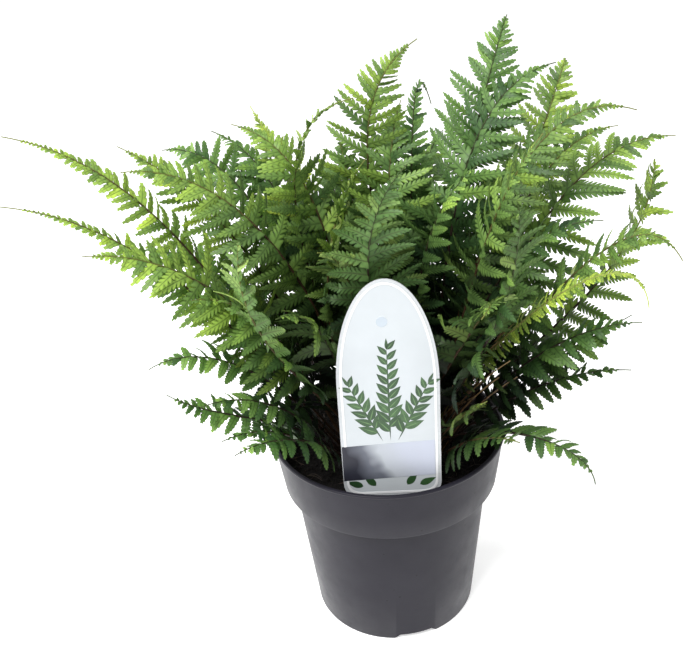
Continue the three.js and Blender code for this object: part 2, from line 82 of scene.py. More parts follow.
# The label, with a plain fan of sprigs and a plain band for its print
LABEL = {
    "width": 46.5, "height": 112, "arch": 52, "corner": 8, "thickness": 0.8,
    "stake_width": 11, "stake_length": 34, "tip_length": 8, "x": 1, "y": -45, "foot": 97, "lean": 2,
    "behind": 1.5, "line": (1.5, 2.6), "panel": 2.8,
}
BAND = {"left": (9.5, 28.5), "right": (11.5, 30.5)}
SPOT = {"x": -1.5, "y": 92, "radius": 3, "sides": 28}
PRINT = {
    "leans": (-26, 0, 26), "lengths": (35, 50, 35), "foot": 31, "spread": 8, "stem": 1,
    "pitch": 5, "leaf": 9.4, "broad": 0.46, "open": 42,
    "end_places": (-14, -8, 7, 13), "end_foot": 6, "end_leaf": (8.5, 4),
}

# The fronds' rule
STALK_FOOT = 94
STRAIGHT_FOOT = 16
STALK_RADIUS = 0.9
STALK_SIDES = 6
STALK_STEPS = 26
RIB_STEPS = 46
RIB_RADIUS = 0.72
RIB_TIP_RADIUS = 0.24
LEAF_THICKNESS = 0.65
BLADE_SHARE = 0.72
PAIRS = {"fewest": 7, "most": 11, "spacing": 12, "crowding": 1.25}
NEAR_PULL = 0.36
FAR_PULL = 0.32
LEAFLET = {"forward": 14, "forward_gain": 24, "droop": 0.14}
# An arching blade, whose tip rises less than the first of the two angles, tapers to a tail,
# and one more upright than the second keeps its width nearly to its tip
WIDTH_AT = {
    "foot": 0.72, "gain": 2.8, "power": 4, "least": 0.02, "arching": 2, "upright": 1, "rises": (53, 70),
}
WARM_AGE = 0.5
YOUNG_AGE = 0.85
# The tilts, in degrees, and the scales that a leaflet of the solid can have
TILTS = (0, 12, -12, 24, -24, 38, -38, 54, -54)
SCALES = (1, 0.7, 0.45)
# The largest miss, in millimetres, at which a leaflet of the solid counts as found, and the tilt
# and the scale of the fine leaflets where the solid has none
LEFT_OUT = (0.2, 0.0, 0.35)

# Each frond: azimuth, reach, tip height, rise of the stalk, rise of the tip, sweep of the tip,
# half width of the blade, turn of the blade, and age from 0 (old, dark) to 1 (new, bright)
FRONDS = [
    [190, 155, 275, 54, 16, 0, 22, 35, 0.8],
    [195, 160, 250, 58, 14, 0, 16, 30, 0.75],
    [205, 132, 232, 70, 8, 0, 31, 35, 0.75],
    [224, 78, 234, 68, 105, 0, 24, 0, 0.5],
    [178, 115, 260, 68, 28, 0, 31, 35, 0.75],
    [192, 110, 256, 88, 0, 0, 31, 40, 0.62],
    [160, 110, 248, 75, -10, 0, 36, 40, 0.42],
    [140, 78, 264, 75, 50, 0, 33, 0, 0.94],
    [160, 70, 262, 80, 10, 0, 31, 35, 0.58],
    [173, 8, 276, 72, 170, 0, 27, 0, 0.6],
    [55, 38, 294, 62, 30, -55, 34, -35, 0.58],
    [35, 78, 300, 68, 66, 0, 31, -35, 0.3],
    [20, 90, 280, 72, 5, 0, 36, -25, 0.3],
    [32, 112, 276, 60, 70, 0, 28, -25, 0.8],
    [0, 114, 264, 70, -20, 0, 24, -30, 0.5],
    [-25, 75, 265, 62, 55, 0, 30, -30, 0.5],
    [25, 135, 242, 62, -5, 0, 27, -20, 0.6],
    [8, 140, 246, 62, -8, 0, 36, -20, 0.55],
    [5, 128, 238, 50, 95, 0, 30, 0, 0.65],
    [-20, 133, 212, 58, -60, 0, 20, -20, 0.5],
    [-35, 127, 205, 78, -80, 0, 15, -20, 1],
    [-63, 85, 205, 75, -15, -60, 26, 0, 0.58],
    [-45, 78, 243, 62, 95, 0, 29, 0, 0.25],
    [-22, 120, 184, 60, 10, 0, 20, -20, 0.28],
    [-5, 118, 170, 55, 35, 0, 18, -20, 0.35],
    [-11, 118, 147, 50, 0, 0, 14, 0, 0.3],
    [-38, 114, 118, 85, -80, 0, 14, 0, 0.25],
    [-50, 88, 140, 50, 10, 0, 16, -10, 0.5],
    [-55, 75, 158, 55, 40, 0, 16, 0, 0.8],
    [202, 114, 171, 72, -22, 0, 18, 15, 0.35],
    [216, 100, 160, 58, 0, 0, 15, 15, 0.3],
    [198, 108, 152, 62, 45, 0, 14, 20, 0.35],
    [222, 98, 146, 52, 0, 0, 14, 10, 0.25],
    [228, 99, 144, 60, 0, 0, 17, 10, 0.35],
    [215, 5, 250, 60, 140, 0, 32, 40, 0.58],
    [-72, 42, 258, 75, 45, 68, 31, 0, 0.22],
    [232, 72, 200, 70, 5, 0, 31, 0, 0.45],
    [242, 54, 225, 76, 20, 0, 31, 0, 0.56],
    [-26, 85, 190, 66, -5, 0, 22, -15, 0.42],
    [-30, 70, 165, 68, -15, 0, 20, 0, 0.25],
    [209, 96, 205, 58, 0, 0, 33, 10, 0.55],
    [-12, 100, 222, 68, 0, 0, 33, -20, 0.2],
    [112, 45, 248, 82, 60, 0, 33, 0, 0.5],
    [75, 55, 262, 84, 20, 0, 33, 10, 0.5],
    [50, 43, 264, 72, -75, -50, 18, 0, 0.2],
    [-8, 46, 246, 80, 40, 0, 32, -15, 0.4],
    [-100, 22, 235, 84, 30, 0, 31, 20, 0.58],
]

# The rear of the plant, where low, high and middle fronds take turns
REAR = {
    "count": 9, "first_azimuth": 48, "step": 15, "seed": 2027,
    "forms": ((112, 160), (90, 241), (125, 205)),
    "launch": 66, "tip_rise": 5, "half_width": 30, "age": 0.3,
    "wander": {
        "azimuth": 4, "reach": 14, "launch": 6, "tip_rise": 15, "half_width": 3, "turn": 18, "age": 0.25,
    },
}

# The fine leaflets that stand for the solids' coarse ones. A row of four values goes with the heights
# of the frond's tip, folded and slimness go with its age, and far and narrowing are for the longest fronds.
FINE = {
    "heights": (175, 210, 250, 290), "closeness": (0.72, 0.86, 0.94, 1.02), "unruly": (1.3, 1.2, 1, 1),
    "divided": (0.36, 0.82, 1, 1), "pitch": 1.3, "pitch_gain": 0.195, "least": 1.1, "regrowth": 0.6,
    "folded": ((0.85, 1), (1, 1.8)), "slimness": ((0.95, 1), (1, 0.58)),
    "far": (140, 155), "narrowing": ((0.3, 0.75), (0, 0.42)),
    "fewest_lobes": 3, "most_lobes": 12, "lobe_pitch": (1.9, 2.7),
    "foot": 0.2, "base": 2.2, "breadth": 0.48, "slenderness": 0.46, "thickness": 0.28,
    "twist": 9, "offset": 0.18, "arch": (0.272, 0.412), "swing": 0.09,
}
# How much the fine leaflets differ by chance
WANDER = {
    "tilt": 0.15, "forward": 6, "twist": 15, "tone": 0.12, "droop": 0.6, "length": (0.84, 1.04),
    "swing": (-0.2, 1.6), "lobe": (0.93, 1.08),
}
# The form of a fine leaflet: pairs of values are for a short one and a long one
FORM = {
    "sizes": (5, 24), "power": (3, 2.4), "rounding": (0.55, 0.75), "lean": (0.2, 0.8),
    "dividing": (8, 20), "teeth": 0.84, "notches": 0.68, "first_lobe": 1.15, "crest": 0.48,
}
# A lobe's rim between its two notches: the place along the lobe's pitch, the share of the way out
# from the notches to its full width, and how near a notch it is
RIM = ((0.1, 0.4, 0.8), (0.26, 0.82, 0.6), (0.64, 1, 0.3), (0.9, 0.6, 0.7))
STALK_SCALES = {
    "count": 34, "foot": 10, "spare": 8, "thinning": 1.6, "lean": (0.2, 0.7), "length": (1.6, 4),
    "width": (0.5, 1.1),
}
# How deep inside the plant a leaflet is: there its colour is darkened with painted shade, through a lower
# tone and less light
INNER_SHADE = {
    "high": 225, "low": 152, "wide": 90, "narrow": 44, "x": 8, "y": 6, "tone": 0.36, "shade": 0.91,
}
# A leaflet's tone from its frond's age and its place along the frond and along itself, and the painted light
# in its colour, with the share of it that is lost with each millimetre to the right as painted shade
TONE = {"base": 0.16, "age": 0.56, "along": 0.14, "tip": 0.1}
LEAF_LIGHT = 1.17
SIDE_LIGHT = 0.0009

# The photograph's camera: its place in metres, its angles in degrees and its focal length in pixels
CAMERA = {"place": (0, -0.3828, 0.3626), "pan": -2.45, "tilt": 27.74, "roll": -3.94, "focal": 880}
PHOTO_WIDTH = 700
SENSOR = 36

# The studio. Each light has a place, a target and a size in metres, and a power
LIGHTS = {
    "key": ((-0.55, -0.75, 1.35), (0, 0, 0.15), (0.7, 0.6), 25),
    "left": ((-1.1, 0.3, 0.5), (0, 0, 0.1), (0.5, 1.2), 9),
    "right": ((1.1, 0.2, 0.5), (0, 0, 0.1), (0.5, 1.2), 2.8),
}
SKY = 0.55
FLOOR_SIZE = 6000
FLOOR_GLOW = 0.52


def add_object(name, data):
    made = bpy.data.objects.new(name, data)
    bpy.context.scene.collection.objects.link(made)
    return made


def camera():
    pan, tilt, roll = (math.radians(CAMERA[name]) for name in ("pan", "tilt", "roll"))
    forward = Vector((math.sin(pan) * math.cos(tilt), math.cos(pan) * math.cos(tilt), -math.sin(tilt)))
    level = forward.cross(Vector((0, 0, 1))).normalized()
    upright = level.cross(forward)
    right = math.cos(roll) * level + math.sin(roll) * upright
    up = -math.sin(roll) * level + math.cos(roll) * upright
    axes = Matrix((right, up, -forward)).transposed().to_4x4()
    data = bpy.data.cameras.new("camera")
    data.sensor_width = SENSOR
    data.lens = CAMERA["focal"] * SENSOR / PHOTO_WIDTH
    made = add_object("camera", data)
    made.matrix_world = Matrix.Translation(CAMERA["place"]) @ axes
    bpy.context.scene.camera = made


# Meshes

def smooth(mesh, angle):
    mesh.shade_smooth()
    mesh.set_sharp_from_angle(angle=math.radians(angle))


def mesh_piece(name, points, faces, materials, kinds=None, values=None, smooth_angle=None):
    """A mesh object from points in millimetres, with a number of its material for each face in kinds."""
    mesh = bpy.data.meshes.new(name)
    places = (np.asarray(points, float) * MM).tolist()
    mesh.from_pydata(places, [], [list(map(int, face)) for face in faces])
    for material in materials:
        mesh.materials.append(material)
    if kinds is not None:
        mesh.polygons.foreach_set("material_index", np.asarray(kinds, dtype=np.int32))
    for label, numbers in (values or {}).items():
        layer = mesh.attributes.new(label, "FLOAT", "POINT")
        layer.data.foreach_set("value", np.asarray(numbers, dtype=np.float32))
    mesh.update()
    if smooth_angle is not None:
        smooth(mesh, smooth_angle)
    return add_object(name, mesh)


def dress(piece, slot, *nodes):
    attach(piece, "root")
    if nodes:
        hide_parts(*nodes)


class Shell:
    """Gathers points, faces, their kinds and the points' values for one piece."""

    def __init__(self, *labels):
        self.points, self.faces, self.kinds = [], [], []
        self.values = {label: [] for label in labels}
        self.count = 0

    def add(self, points, faces, kinds=0, **values):
        self.points.append(points)
        self.faces += [[corner + self.count for corner in face] for face in faces]
        self.kinds.append(np.broadcast_to(kinds, len(faces)))
        for label, store in self.values.items():
            store.append(np.broadcast_to(values.get(label, 0.0), len(points)))
        self.count += len(points)

    def piece(self, name, materials, smooth_angle=None):
        values = {label: np.concatenate(parts) for label, parts in self.values.items()}
        points, kinds = np.vstack(self.points), np.concatenate(self.kinds)
        return mesh_piece(name, points, self.faces, materials, kinds, values, smooth_angle)


def band_faces(rings, sides):
    """The quads that join each ring of points to the next one, from the rings' numbers."""
    faces = []
    for low, high in zip(rings, rings[1:]):
        for side in range(sides):
            after = (side + 1) % sides
            face = (low * sides + side, low * sides + after, high * sides + after, high * sides + side)
            faces.append(face)
    return faces


def full_turn(sides):
    return np.linspace(0, 2 * math.pi, sides, endpoint=False)


def ring(angles, radius, height):
    return np.column_stack((radius * np.cos(angles), radius * np.sin(angles), np.full(len(angles), height)))


def lathe(foot, rings, top):
    """Points and faces of a closed solid from rings about Z and the heights of its two ends on Z."""
    sides = len(rings[0])
    points = np.vstack([*rings, (0, 0, foot), (0, 0, top)])
    faces = band_faces(range(len(rings)), sides)
    highest = (len(rings) - 1) * sides
    end = len(points) - 1
    for side in range(sides):
        after = (side + 1) % sides
        faces.append((end - 1, after, side))
        faces.append((highest + side, highest + after, end))
    return points, faces


def turned(section, sides):
    """A closed solid turned about Z, from [radius, height] points that start and end on Z."""
    angles = full_turn(sides)
    rings = [ring(angles, radius, height) for radius, height in section[1:-1]]
    return lathe(section[0][1], rings, section[-1][1])


def tube_points(path, first, second, radii, angles):
    """Rings of points round a path, in the plane of two directions at each of its places."""
    across = np.cos(angles)[None, :, None] * first[:, None, :]
    up = np.sin(angles)[None, :, None] * second[:, None, :]
    return (path[:, None, :] + (across + up) * np.asarray(radii)[:, None, None]).reshape(-1, 3)


def tube_faces(steps, sides):
    """The triangles of a closed tube with flat ends."""
    quads = np.array(band_faces(range(steps), sides))
    end = (steps - 1) * sides
    ends = []
    for side in range(1, sides - 1):
        ends += [(0, side + 1, side), (end, end + side, end + side + 1)]
    return np.vstack((quads[:, (0, 1, 2)], quads[:, (0, 2, 3)], ends))


def tube(path, radii, sides):
    """Points and faces of a closed tube along a path."""
    path = np.asarray(path, float)
    along = unit(np.gradient(path, axis=0))
    helper = np.array((0.31, 0.17, 0.94)) if abs(along[0][2]) < 0.8 else np.array((0.94, 0.17, 0.31))
    first = unit(np.cross(along, helper))
    points = tube_points(path, first, np.cross(along, first), radii, full_turn(sides))
    return points, tube_faces(len(path), sides)


def unit(vectors):
    return vectors / np.linalg.norm(vectors, axis=-1, keepdims=True)


def heading(azimuth, rise):
    """The direction with an azimuth and a rise in degrees."""
    azimuth, rise = math.radians(azimuth), math.radians(rise)
    level = math.cos(rise)
    return np.array((level * math.cos(azimuth), level * math.sin(azimuth), math.sin(rise)))


# Papery scales

FLAKE_FACES = np.array([(0, 1, 4), (1, 2, 4), (2, 3, 4), (3, 0, 4), (0, 3, 1), (1, 3, 2)])


def flake(root, way, width, lift):
    """A thin papery scale: four corners, folded a little along its middle."""
    across = np.cross(way, lift)
    across *= width / 2 / max(np.linalg.norm(across), 1e-6)
    middle = root + 0.4 * way
    return np.array([root, middle + across, root + way, middle - across, middle + lift * 0.18])


# Shaders

class Nodes:
    """Short names for the shader nodes that the materials share."""

    def __init__(self, name):
        self.material = bpy.data.materials.new(name)
        self.material.use_nodes = True
        self.tree = self.material.node_tree
        self.shader = self.tree.nodes["Principled BSDF"]
        self.output = self.tree.nodes["Material Output"]

    def new(self, kind, **settings):
        node = self.tree.nodes.new(kind)
        for name, value in settings.items():
            setattr(node, name, value)
        return node

    def link(self, source, target):
        self.tree.links.new(source, target)

    def feed(self, socket, value):
        """Sets a socket to a number or a colour, or links it to another socket."""
        if isinstance(value, (int, float)):
            socket.default_value = value
        elif isinstance(value, tuple):
            socket.default_value = (*value, 1)
        else:
            self.link(value, socket)

    def place(self):
        return self.new("ShaderNodeTexCoord").outputs["Object"]

    def attribute(self, name):
        return self.new("ShaderNodeAttribute", attribute_name=name).outputs["Fac"]

    def noise(self, scale, detail=3, roughness=0.55):
        node = self.new("ShaderNodeTexNoise")
        for name, value in (("Scale", scale), ("Detail", detail), ("Roughness", roughness)):
            node.inputs[name].default_value = value
        self.link(self.place(), node.inputs["Vector"])
        return node.outputs["Fac"]

    def span(self, value, low, high, to_low, to_high):
        node = self.new("ShaderNodeMapRange")
        ends = {"From Min": low, "From Max": high, "To Min": to_low, "To Max": to_high}
        for name, number in ends.items():
            node.inputs[name].default_value = number
        self.link(value, node.inputs["Value"])
        return node.outputs["Result"]

    def cloud(self, low, high, *noise):
        """A noise that wanders between two values."""
        return self.span(self.noise(*noise), 0.3, 0.7, low, high)

    def math(self, operation, first, second, clamp=False):
        node = self.new("ShaderNodeMath", operation=operation, use_clamp=clamp)
        self.feed(node.inputs[0], first)
        self.feed(node.inputs[1], second)
        return node.outputs[0]

    def product(self, first, *others):
        for other in others:
            first = self.math("MULTIPLY", first, other)
        return first

    def ramp(self, value, stops):
        node = self.new("ShaderNodeValToRGB")
        while len(node.color_ramp.elements) < len(stops):
            node.color_ramp.elements.new(0.5)
        for element, (position, color) in zip(node.color_ramp.elements, stops):
            element.position = position
            element.color = (*color, 1)
        self.link(value, node.inputs["Fac"])
        return node.outputs["Color"]

    def mix(self, share, first, second, blend="MIX"):
        node = self.new("ShaderNodeMix", data_type="RGBA", blend_type=blend)
        sockets = {socket.identifier: socket for socket in node.inputs}
        for name, value in (("Factor_Float", share), ("A_Color", first), ("B_Color", second)):
            self.feed(sockets[name], value)
        return next(socket for socket in node.outputs if socket.identifier == "Result_Color")

    def bump(self, height, strength, distance):
        node = self.new("ShaderNodeBump")
        node.inputs["Strength"].default_value = strength
        node.inputs["Distance"].default_value = distance
        self.link(height, node.inputs["Height"])
        self.link(node.outputs["Normal"], self.shader.inputs["Normal"])
        return node.outputs["Normal"]

    def set(self, **values):
        for name, value in values.items():
            self.feed(self.shader.inputs[name.replace("_", " ")], value)


# The upper and the lower side of the leaflets: colours by tone, then the midrib's colour and its share
UPPER_SIDE = ((
    (0.0, (0.013, 0.034, 0.015)),
    (0.3, (0.048, 0.105, 0.03)),
    (0.6, (0.142, 0.25, 0.059)),
    (0.85, (0.28, 0.43, 0.075)),
    (1.0, (0.44, 0.62, 0.1)),
), (0.022, 0.045, 0.012), 0.62)
LOWER_SIDE = ((
    (0.0, (0.02, 0.045, 0.02)),
    (0.5, (0.11, 0.2, 0.05)),
    (1.0, (0.38, 0.5, 0.13)),
), (0.05, 0.045, 0.02), 0.75)
LEAF_GLOW = 0.22
GLOW_COLOR = (0.34, 0.55, 0.07)
# The colours of the stalks' two ends
STEM_COLORS = {
    "dark": ((0.02, 0.011, 0.007), (0.055, 0.085, 0.022)),
    "warm": ((0.035, 0.018, 0.008), (0.16, 0.18, 0.04)),
    "young": ((0.12, 0.12, 0.03), (0.42, 0.5, 0.12)),
}


def leaf_material(name, tones, vein_color, vein_share):
    nodes = Nodes(name)
    tone = nodes.math("ADD", nodes.attribute("tone"), nodes.cloud(-0.08, 0.08, 260, 3), clamp=True)
    edge, lobe, hue = (nodes.attribute(label) for label in ("edge", "lobe", "hue"))
    rib = nodes.span(edge, 0.01, 0.16, vein_share, 0)
    color = nodes.mix(rib, nodes.ramp(tone, tones), vein_color)
    # Painted shade in the notches between the lobes and at the rim, and a painted highlight on each lobe's
    # crest, multiply the painted light that each leaflet carries
    notch = nodes.span(lobe, 0.6, 1, 1, 0.36)
    crest = nodes.span(lobe, 0, 0.5, 1.22, 1)
    rim = nodes.span(edge, 0.8, 0.95, 1, 0.72)
    light = nodes.product(notch, crest, rim, nodes.attribute("light"))
    # The painted light and shade, tinted by the frond's hue, multiply the colour
    light_and_hue = nodes.new("ShaderNodeCombineColor")
    nodes.link(nodes.product(light, nodes.span(hue, 0, 1, 0.88, 1.12)), light_and_hue.inputs["Red"])
    nodes.link(light, light_and_hue.inputs["Green"])
    nodes.link(nodes.product(light, nodes.span(hue, 0, 1, 1.1, 0.84)), light_and_hue.inputs["Blue"])
    shade = light_and_hue.outputs["Color"]
    color = nodes.mix(1.0, color, shade, "MULTIPLY")
    nodes.set(Base_Color=color, Roughness=nodes.cloud(0.36, 0.56, 900, 2), Specular_IOR_Level=0.36)
    relief = nodes.math("ADD", nodes.noise(2600, 2), nodes.product(lobe, -0.8))
    normal = nodes.bump(relief, 0.35, 0.0002)
    through = nodes.new("ShaderNodeBsdfTranslucent")
    # The light through the leaf is tinted by the same painted light and shade
    glow = nodes.mix(1.0, GLOW_COLOR, shade, "MULTIPLY")
    nodes.link(nodes.mix(0.5, color, glow), through.inputs["Color"])
    nodes.link(normal, through.inputs["Normal"])
    both = nodes.new("ShaderNodeMixShader")
    both.inputs["Fac"].default_value = LEAF_GLOW
    nodes.link(nodes.shader.outputs["BSDF"], both.inputs[1])
    nodes.link(through.outputs["BSDF"], both.inputs[2])
    nodes.link(both.outputs["Shader"], nodes.output.inputs["Surface"])
    return nodes.material


def stem_material(name, low, high):
    """A stalk: its colour goes from one end to the other, with fine lengthwise streaks."""
    nodes = Nodes(name)
    way = nodes.math("ADD", nodes.attribute("way"), nodes.cloud(-0.12, 0.12, 700, 4), clamp=True)
    nodes.set(Base_Color=nodes.ramp(way, ((0, low), (0.6, low), (1, high))))
    nodes.set(Roughness=0.5, Specular_IOR_Level=0.25)
    nodes.bump(nodes.noise(3000, 3), 0.3, 0.0001)
    return nodes.material


def clouded_material(name, noise, stops, roughness, specular=0.5, bump=None):
    """A material whose colour follows a noise, and which may have a bump: its noise, strength and height."""
    nodes = Nodes(name)
    color = nodes.ramp(nodes.noise(*noise), stops)
    nodes.set(Base_Color=color, Roughness=roughness, Specular_IOR_Level=specular)
    if bump:
        nodes.bump(nodes.noise(*bump[0]), *bump[1:])
    return nodes.material


def scale_material():
    stops = (
        (0.3, (0.006, 0.004, 0.003)),
        (0.55, (0.024, 0.013, 0.007)),
        (0.78, (0.085, 0.048, 0.021)),
    )
    return clouded_material("papery_scales", (420, 4), stops, 0.72, bump=((2500, 3), 0.4, 0.0002))


def soil_material(name, light):
    stops = (
        (0.3, (0.002, 0.0018, 0.002)),
        (0.58, (0.006 * light, 0.0045 * light, 0.004 * light)),
        (0.76, (0.03 * light, 0.016 * light, 0.01 * light)),
    )
    crumb = (900, 8, 0.7)
    return clouded_material(name, crumb, stops, 0.92, 0.25, (crumb, 0.9, 0.0012))


def plain_material(name, color, roughness):
    low = tuple(0.94 * channel for channel in color)
    return clouded_material(name, (60, 3), ((0.3, low), (0.7, color)), roughness)


def pot_material():
    nodes = Nodes("pot_satin")
    stops = ((0.3, (0.0135, 0.0125, 0.019)), (0.7, (0.0185, 0.0175, 0.025)))
    color = nodes.ramp(nodes.noise(38, 4, 0.6), stops)
    speck = nodes.span(nodes.noise(310, 1), 0.75, 0.78, 0, 0.8)
    color = nodes.mix(speck, color, (0.003, 0.003, 0.004))
    nodes.set(Base_Color=color, Roughness=nodes.cloud(0.33, 0.46, 90, 5, 0.65), Specular_IOR_Level=0.18)
    nodes.bump(nodes.noise(1500, 4), 0.12, 0.0002)
    return nodes.material


# The pot's inside wall: darker and rougher than the outside, with soil dust and painted shade from the
# foliage over it
def pot_inner_dust_and_shade_material():
    stops = ((0.35, (0.004, 0.0035, 0.0035)), (0.65, (0.014, 0.0125, 0.014)))
    return clouded_material("pot_inner_wall_dust_and_shade", (160, 5, 0.7), stops, 0.85, 0.2)


def label_material():
    nodes = Nodes("label_white")
    color = nodes.ramp(nodes.noise(30, 2), ((0.3, (0.5, 0.52, 0.54)), (0.7, (0.53, 0.55, 0.565))))
    nodes.set(Base_Color=color, Roughness=nodes.cloud(0.24, 0.34, 400, 2))
    nodes.bump(nodes.noise(600, 2), 0.06, 0.0002)
    return nodes.material


def band_material():
    """The plain printed band: dark grey at its left, silvery from its middle on, with a soft wave."""
    nodes = Nodes("label_band")
    axes = nodes.new("ShaderNodeSeparateXYZ")
    nodes.link(nodes.place(), axes.inputs["Vector"])
    across = nodes.span(axes.outputs["X"], -0.022, 0.022, 0, 1)
    rise = nodes.span(axes.outputs["Z"], 0.106, 0.126, -0.1, 0.1)
    wave = nodes.math("ADD", across, nodes.cloud(-0.1, 0.1, 60, 2))
    color = nodes.ramp(nodes.math("ADD", wave, rise, clamp=True), (
        (0.12, (0.024, 0.025, 0.036)),
        (0.32, (0.13, 0.14, 0.17)),
        (0.46, (0.44, 0.47, 0.51)),
        (0.9, (0.48, 0.51, 0.6)),
    ))
    nodes.set(Base_Color=color, Roughness=0.3, Specular_IOR_Level=0.25)
    return nodes.material


def print_material():
    nodes = Nodes("label_sprig")
    tone = nodes.math("ADD", nodes.attribute("tone"), nodes.cloud(-0.1, 0.1, 500, 2))
    color = nodes.ramp(tone, (
        (0, (0.012, 0.035, 0.014)),
        (0.7, (0.035, 0.09, 0.03)),
        (1, (0.1, 0.2, 0.07)),
    ))
    nodes.set(Base_Color=color, Roughness=0.32)
    return nodes.material


# The pot

def pot_section():
    """The pot's outer wall from foot to rim, then its inner wall back down, as [radius, height] points."""
    slope = (RIM_RADIUS - LIP - COLLAR_FOOT_RADIUS) / (COLLAR_HEIGHT - 2 * LIP)
    bead = ((-LIP, -2 * LIP - 0.3), (-0.12, -1.25), (0, -0.8), (-0.12, -0.3), (-0.5, 0))
    edges = (
        (BASE_RADIUS, 0, ((-0.9, 0), (-0.3, 0.25), (0, 0.9), (3, 32))),
        (BODY_TOP_RADIUS, COLLAR_FOOT, ((-0.25, -3), (0, -0.9), (0.4, -0.3), (1.2, 0))),
        (COLLAR_FOOT_RADIUS, COLLAR_FOOT, ((-1, 0), (-0.3, 0.3), (0, 1), (slope * 13, 13))),
        (RIM_RADIUS, POT_HEIGHT, bead),
        (RIM_RADIUS - LIP - WALL, POT_HEIGHT, ((0.5, 0), (0, -0.5))),
    )
    section = [(0, 0), (BASE_RING, 0)]
    for radius, height, steps in edges:
        section += [(radius + out, height + up) for out, up in steps]
    section += [(COLLAR_FOOT_RADIUS - WALL, LEDGE), (BODY_TOP_RADIUS - WALL, LEDGE)]
    return section + [(BASE_RADIUS - WALL, FLOOR), (0, FLOOR)]


def pot_kinds(points, faces):
    """For each face, 1 where it belongs to the pot's inside and 0 elsewhere."""
    radii, heights = np.hypot(points[:, 0], points[:, 1]), points[:, 2]
    steps = (0, COLLAR_FOOT, COLLAR_FOOT + 0.1, POT_HEIGHT)
    wall = np.interp(heights, steps, (BASE_RADIUS, BODY_TOP_RADIUS, COLLAR_FOOT_RADIUS, RIM_RADIUS))
    inside = (radii < wall - 0.6 * WALL) & (heights > 0.5)
    return [int(inside[list(face)].mean() > 0.7) for face in faces]


def notch_cutter(azimuth):
    out, across = heading(azimuth, 0), heading(azimuth + 90, 0)
    half, top, height = NOTCH["width"] / 2, NOTCH["top_width"] / 2, NOTCH["height"]
    outline = [(-half, -1), (half, -1), (top, height), (-top, height)]
    reaches = (BASE_RADIUS - NOTCH["reach"] / 2, BASE_RADIUS + NOTCH["reach"] / 2)
    corners = [reach * out + x * across + (0, 0, z) for reach in reaches for x, z in outline]
    faces = [(3, 2, 1, 0), (4, 5, 6, 7), (1, 5, 4, 0), (2, 6, 5, 1), (3, 7, 6, 2), (0, 4, 7, 3)]
    return mesh_piece("notch_cutter", corners, faces, [])


def apply_modifiers(piece):
    bpy.context.view_layer.update()
    graph = bpy.context.evaluated_depsgraph_get()
    old = piece.data
    mesh = bpy.data.meshes.new_from_object(piece.evaluated_get(graph))
    piece.modifiers.clear()
    piece.data = mesh
    bpy.data.meshes.remove(old)


def make_pot():
    points, faces = turned(pot_section(), POT_SIDES)
    materials = [pot_material(), pot_inner_dust_and_shade_material()]
    pot = mesh_piece("pot_shell", points, faces, materials, pot_kinds(points, faces))
    cutters = [notch_cutter(azimuth) for azimuth in NOTCH["azimuths"]]
    for cutter in cutters:
        cut = pot.modifiers.new("notch", "BOOLEAN")
        cut.object = cutter
        cut.operation = "DIFFERENCE"
        cut.solver = "EXACT"
    apply_modifiers(pot)
    for cutter in cutters:
        bpy.data.objects.remove(cutter)
    smooth(pot.data, 40)
    dress(pot, "pot_plastic", "pot")


# The soil

def soil_height(radius, angle):
    """The height of the soil at a place: a low mound with broad and fine waves."""
    broad = 0.6 * np.sin(3 * angle + 0.2 * radius)
    fine = 0.4 * np.cos(5 * angle - 0.3 * radius)
    return SOIL["edge"] + SOIL["rise"] * (1 - radius / RIM_RADIUS) + broad + fine


def make_soil(random):
    slope = (RIM_RADIUS - LIP - COLLAR_FOOT_RADIUS) / (COLLAR_HEIGHT - WALL)
    edge = COLLAR_FOOT_RADIUS - WALL + slope * (SOIL["edge"] - LEDGE) - GAP
    angles = full_turn(SOIL["sides"])
    wall = [
        (BASE_RADIUS - WALL - GAP, FLOOR + GAP), (BODY_TOP_RADIUS - WALL - GAP, LEDGE + GAP),
        (COLLAR_FOOT_RADIUS - WALL - GAP, LEDGE + GAP), (edge, SOIL["edge"] - 1.2),
    ]
    rings = [ring(angles, radius, height) for radius, height in wall]
    for radius in np.linspace(edge - 0.6, 2, SOIL["rings"]):
        rough = random.normal(0, SOIL["roughness"], SOIL["sides"])
        rough += SOIL["ripple"] * np.sin(9 * angles + radius) * np.sin(0.9 * radius + 4 * angles)
        rings.append(ring(angles, radius, soil_height(radius, angles) + rough))
    points, faces = lathe(FLOOR + GAP, rings, SOIL["edge"] + SOIL["rise"])
    body = mesh_piece("soil_body", points, faces, [soil_material("soil_dark", 1)], smooth_angle=50)
    dress(body, "potting_soil", "soil")


ICOSA_RISE = 0.5 * (1 + math.sqrt(5))
ICOSA_POINTS = np.array([
    (-1, ICOSA_RISE, 0), (1, ICOSA_RISE, 0), (-1, -ICOSA_RISE, 0), (1, -ICOSA_RISE, 0),
    (0, -1, ICOSA_RISE), (0, 1, ICOSA_RISE), (0, -1, -ICOSA_RISE), (0, 1, -ICOSA_RISE),
    (ICOSA_RISE, 0, -1), (ICOSA_RISE, 0, 1), (-ICOSA_RISE, 0, -1), (-ICOSA_RISE, 0, 1),
]) / math.hypot(1, ICOSA_RISE)
ICOSA_FACES = np.array([
    (0, 11, 5), (0, 5, 1), (0, 1, 7), (0, 7, 10), (0, 10, 11), (1, 5, 9), (5, 11, 4),
    (11, 10, 2), (10, 7, 6), (7, 1, 8), (3, 9, 4), (3, 4, 2), (3, 2, 6), (3, 6, 8),
    (3, 8, 9), (4, 9, 5), (2, 4, 11), (6, 2, 10), (8, 6, 7), (9, 8, 1),
])


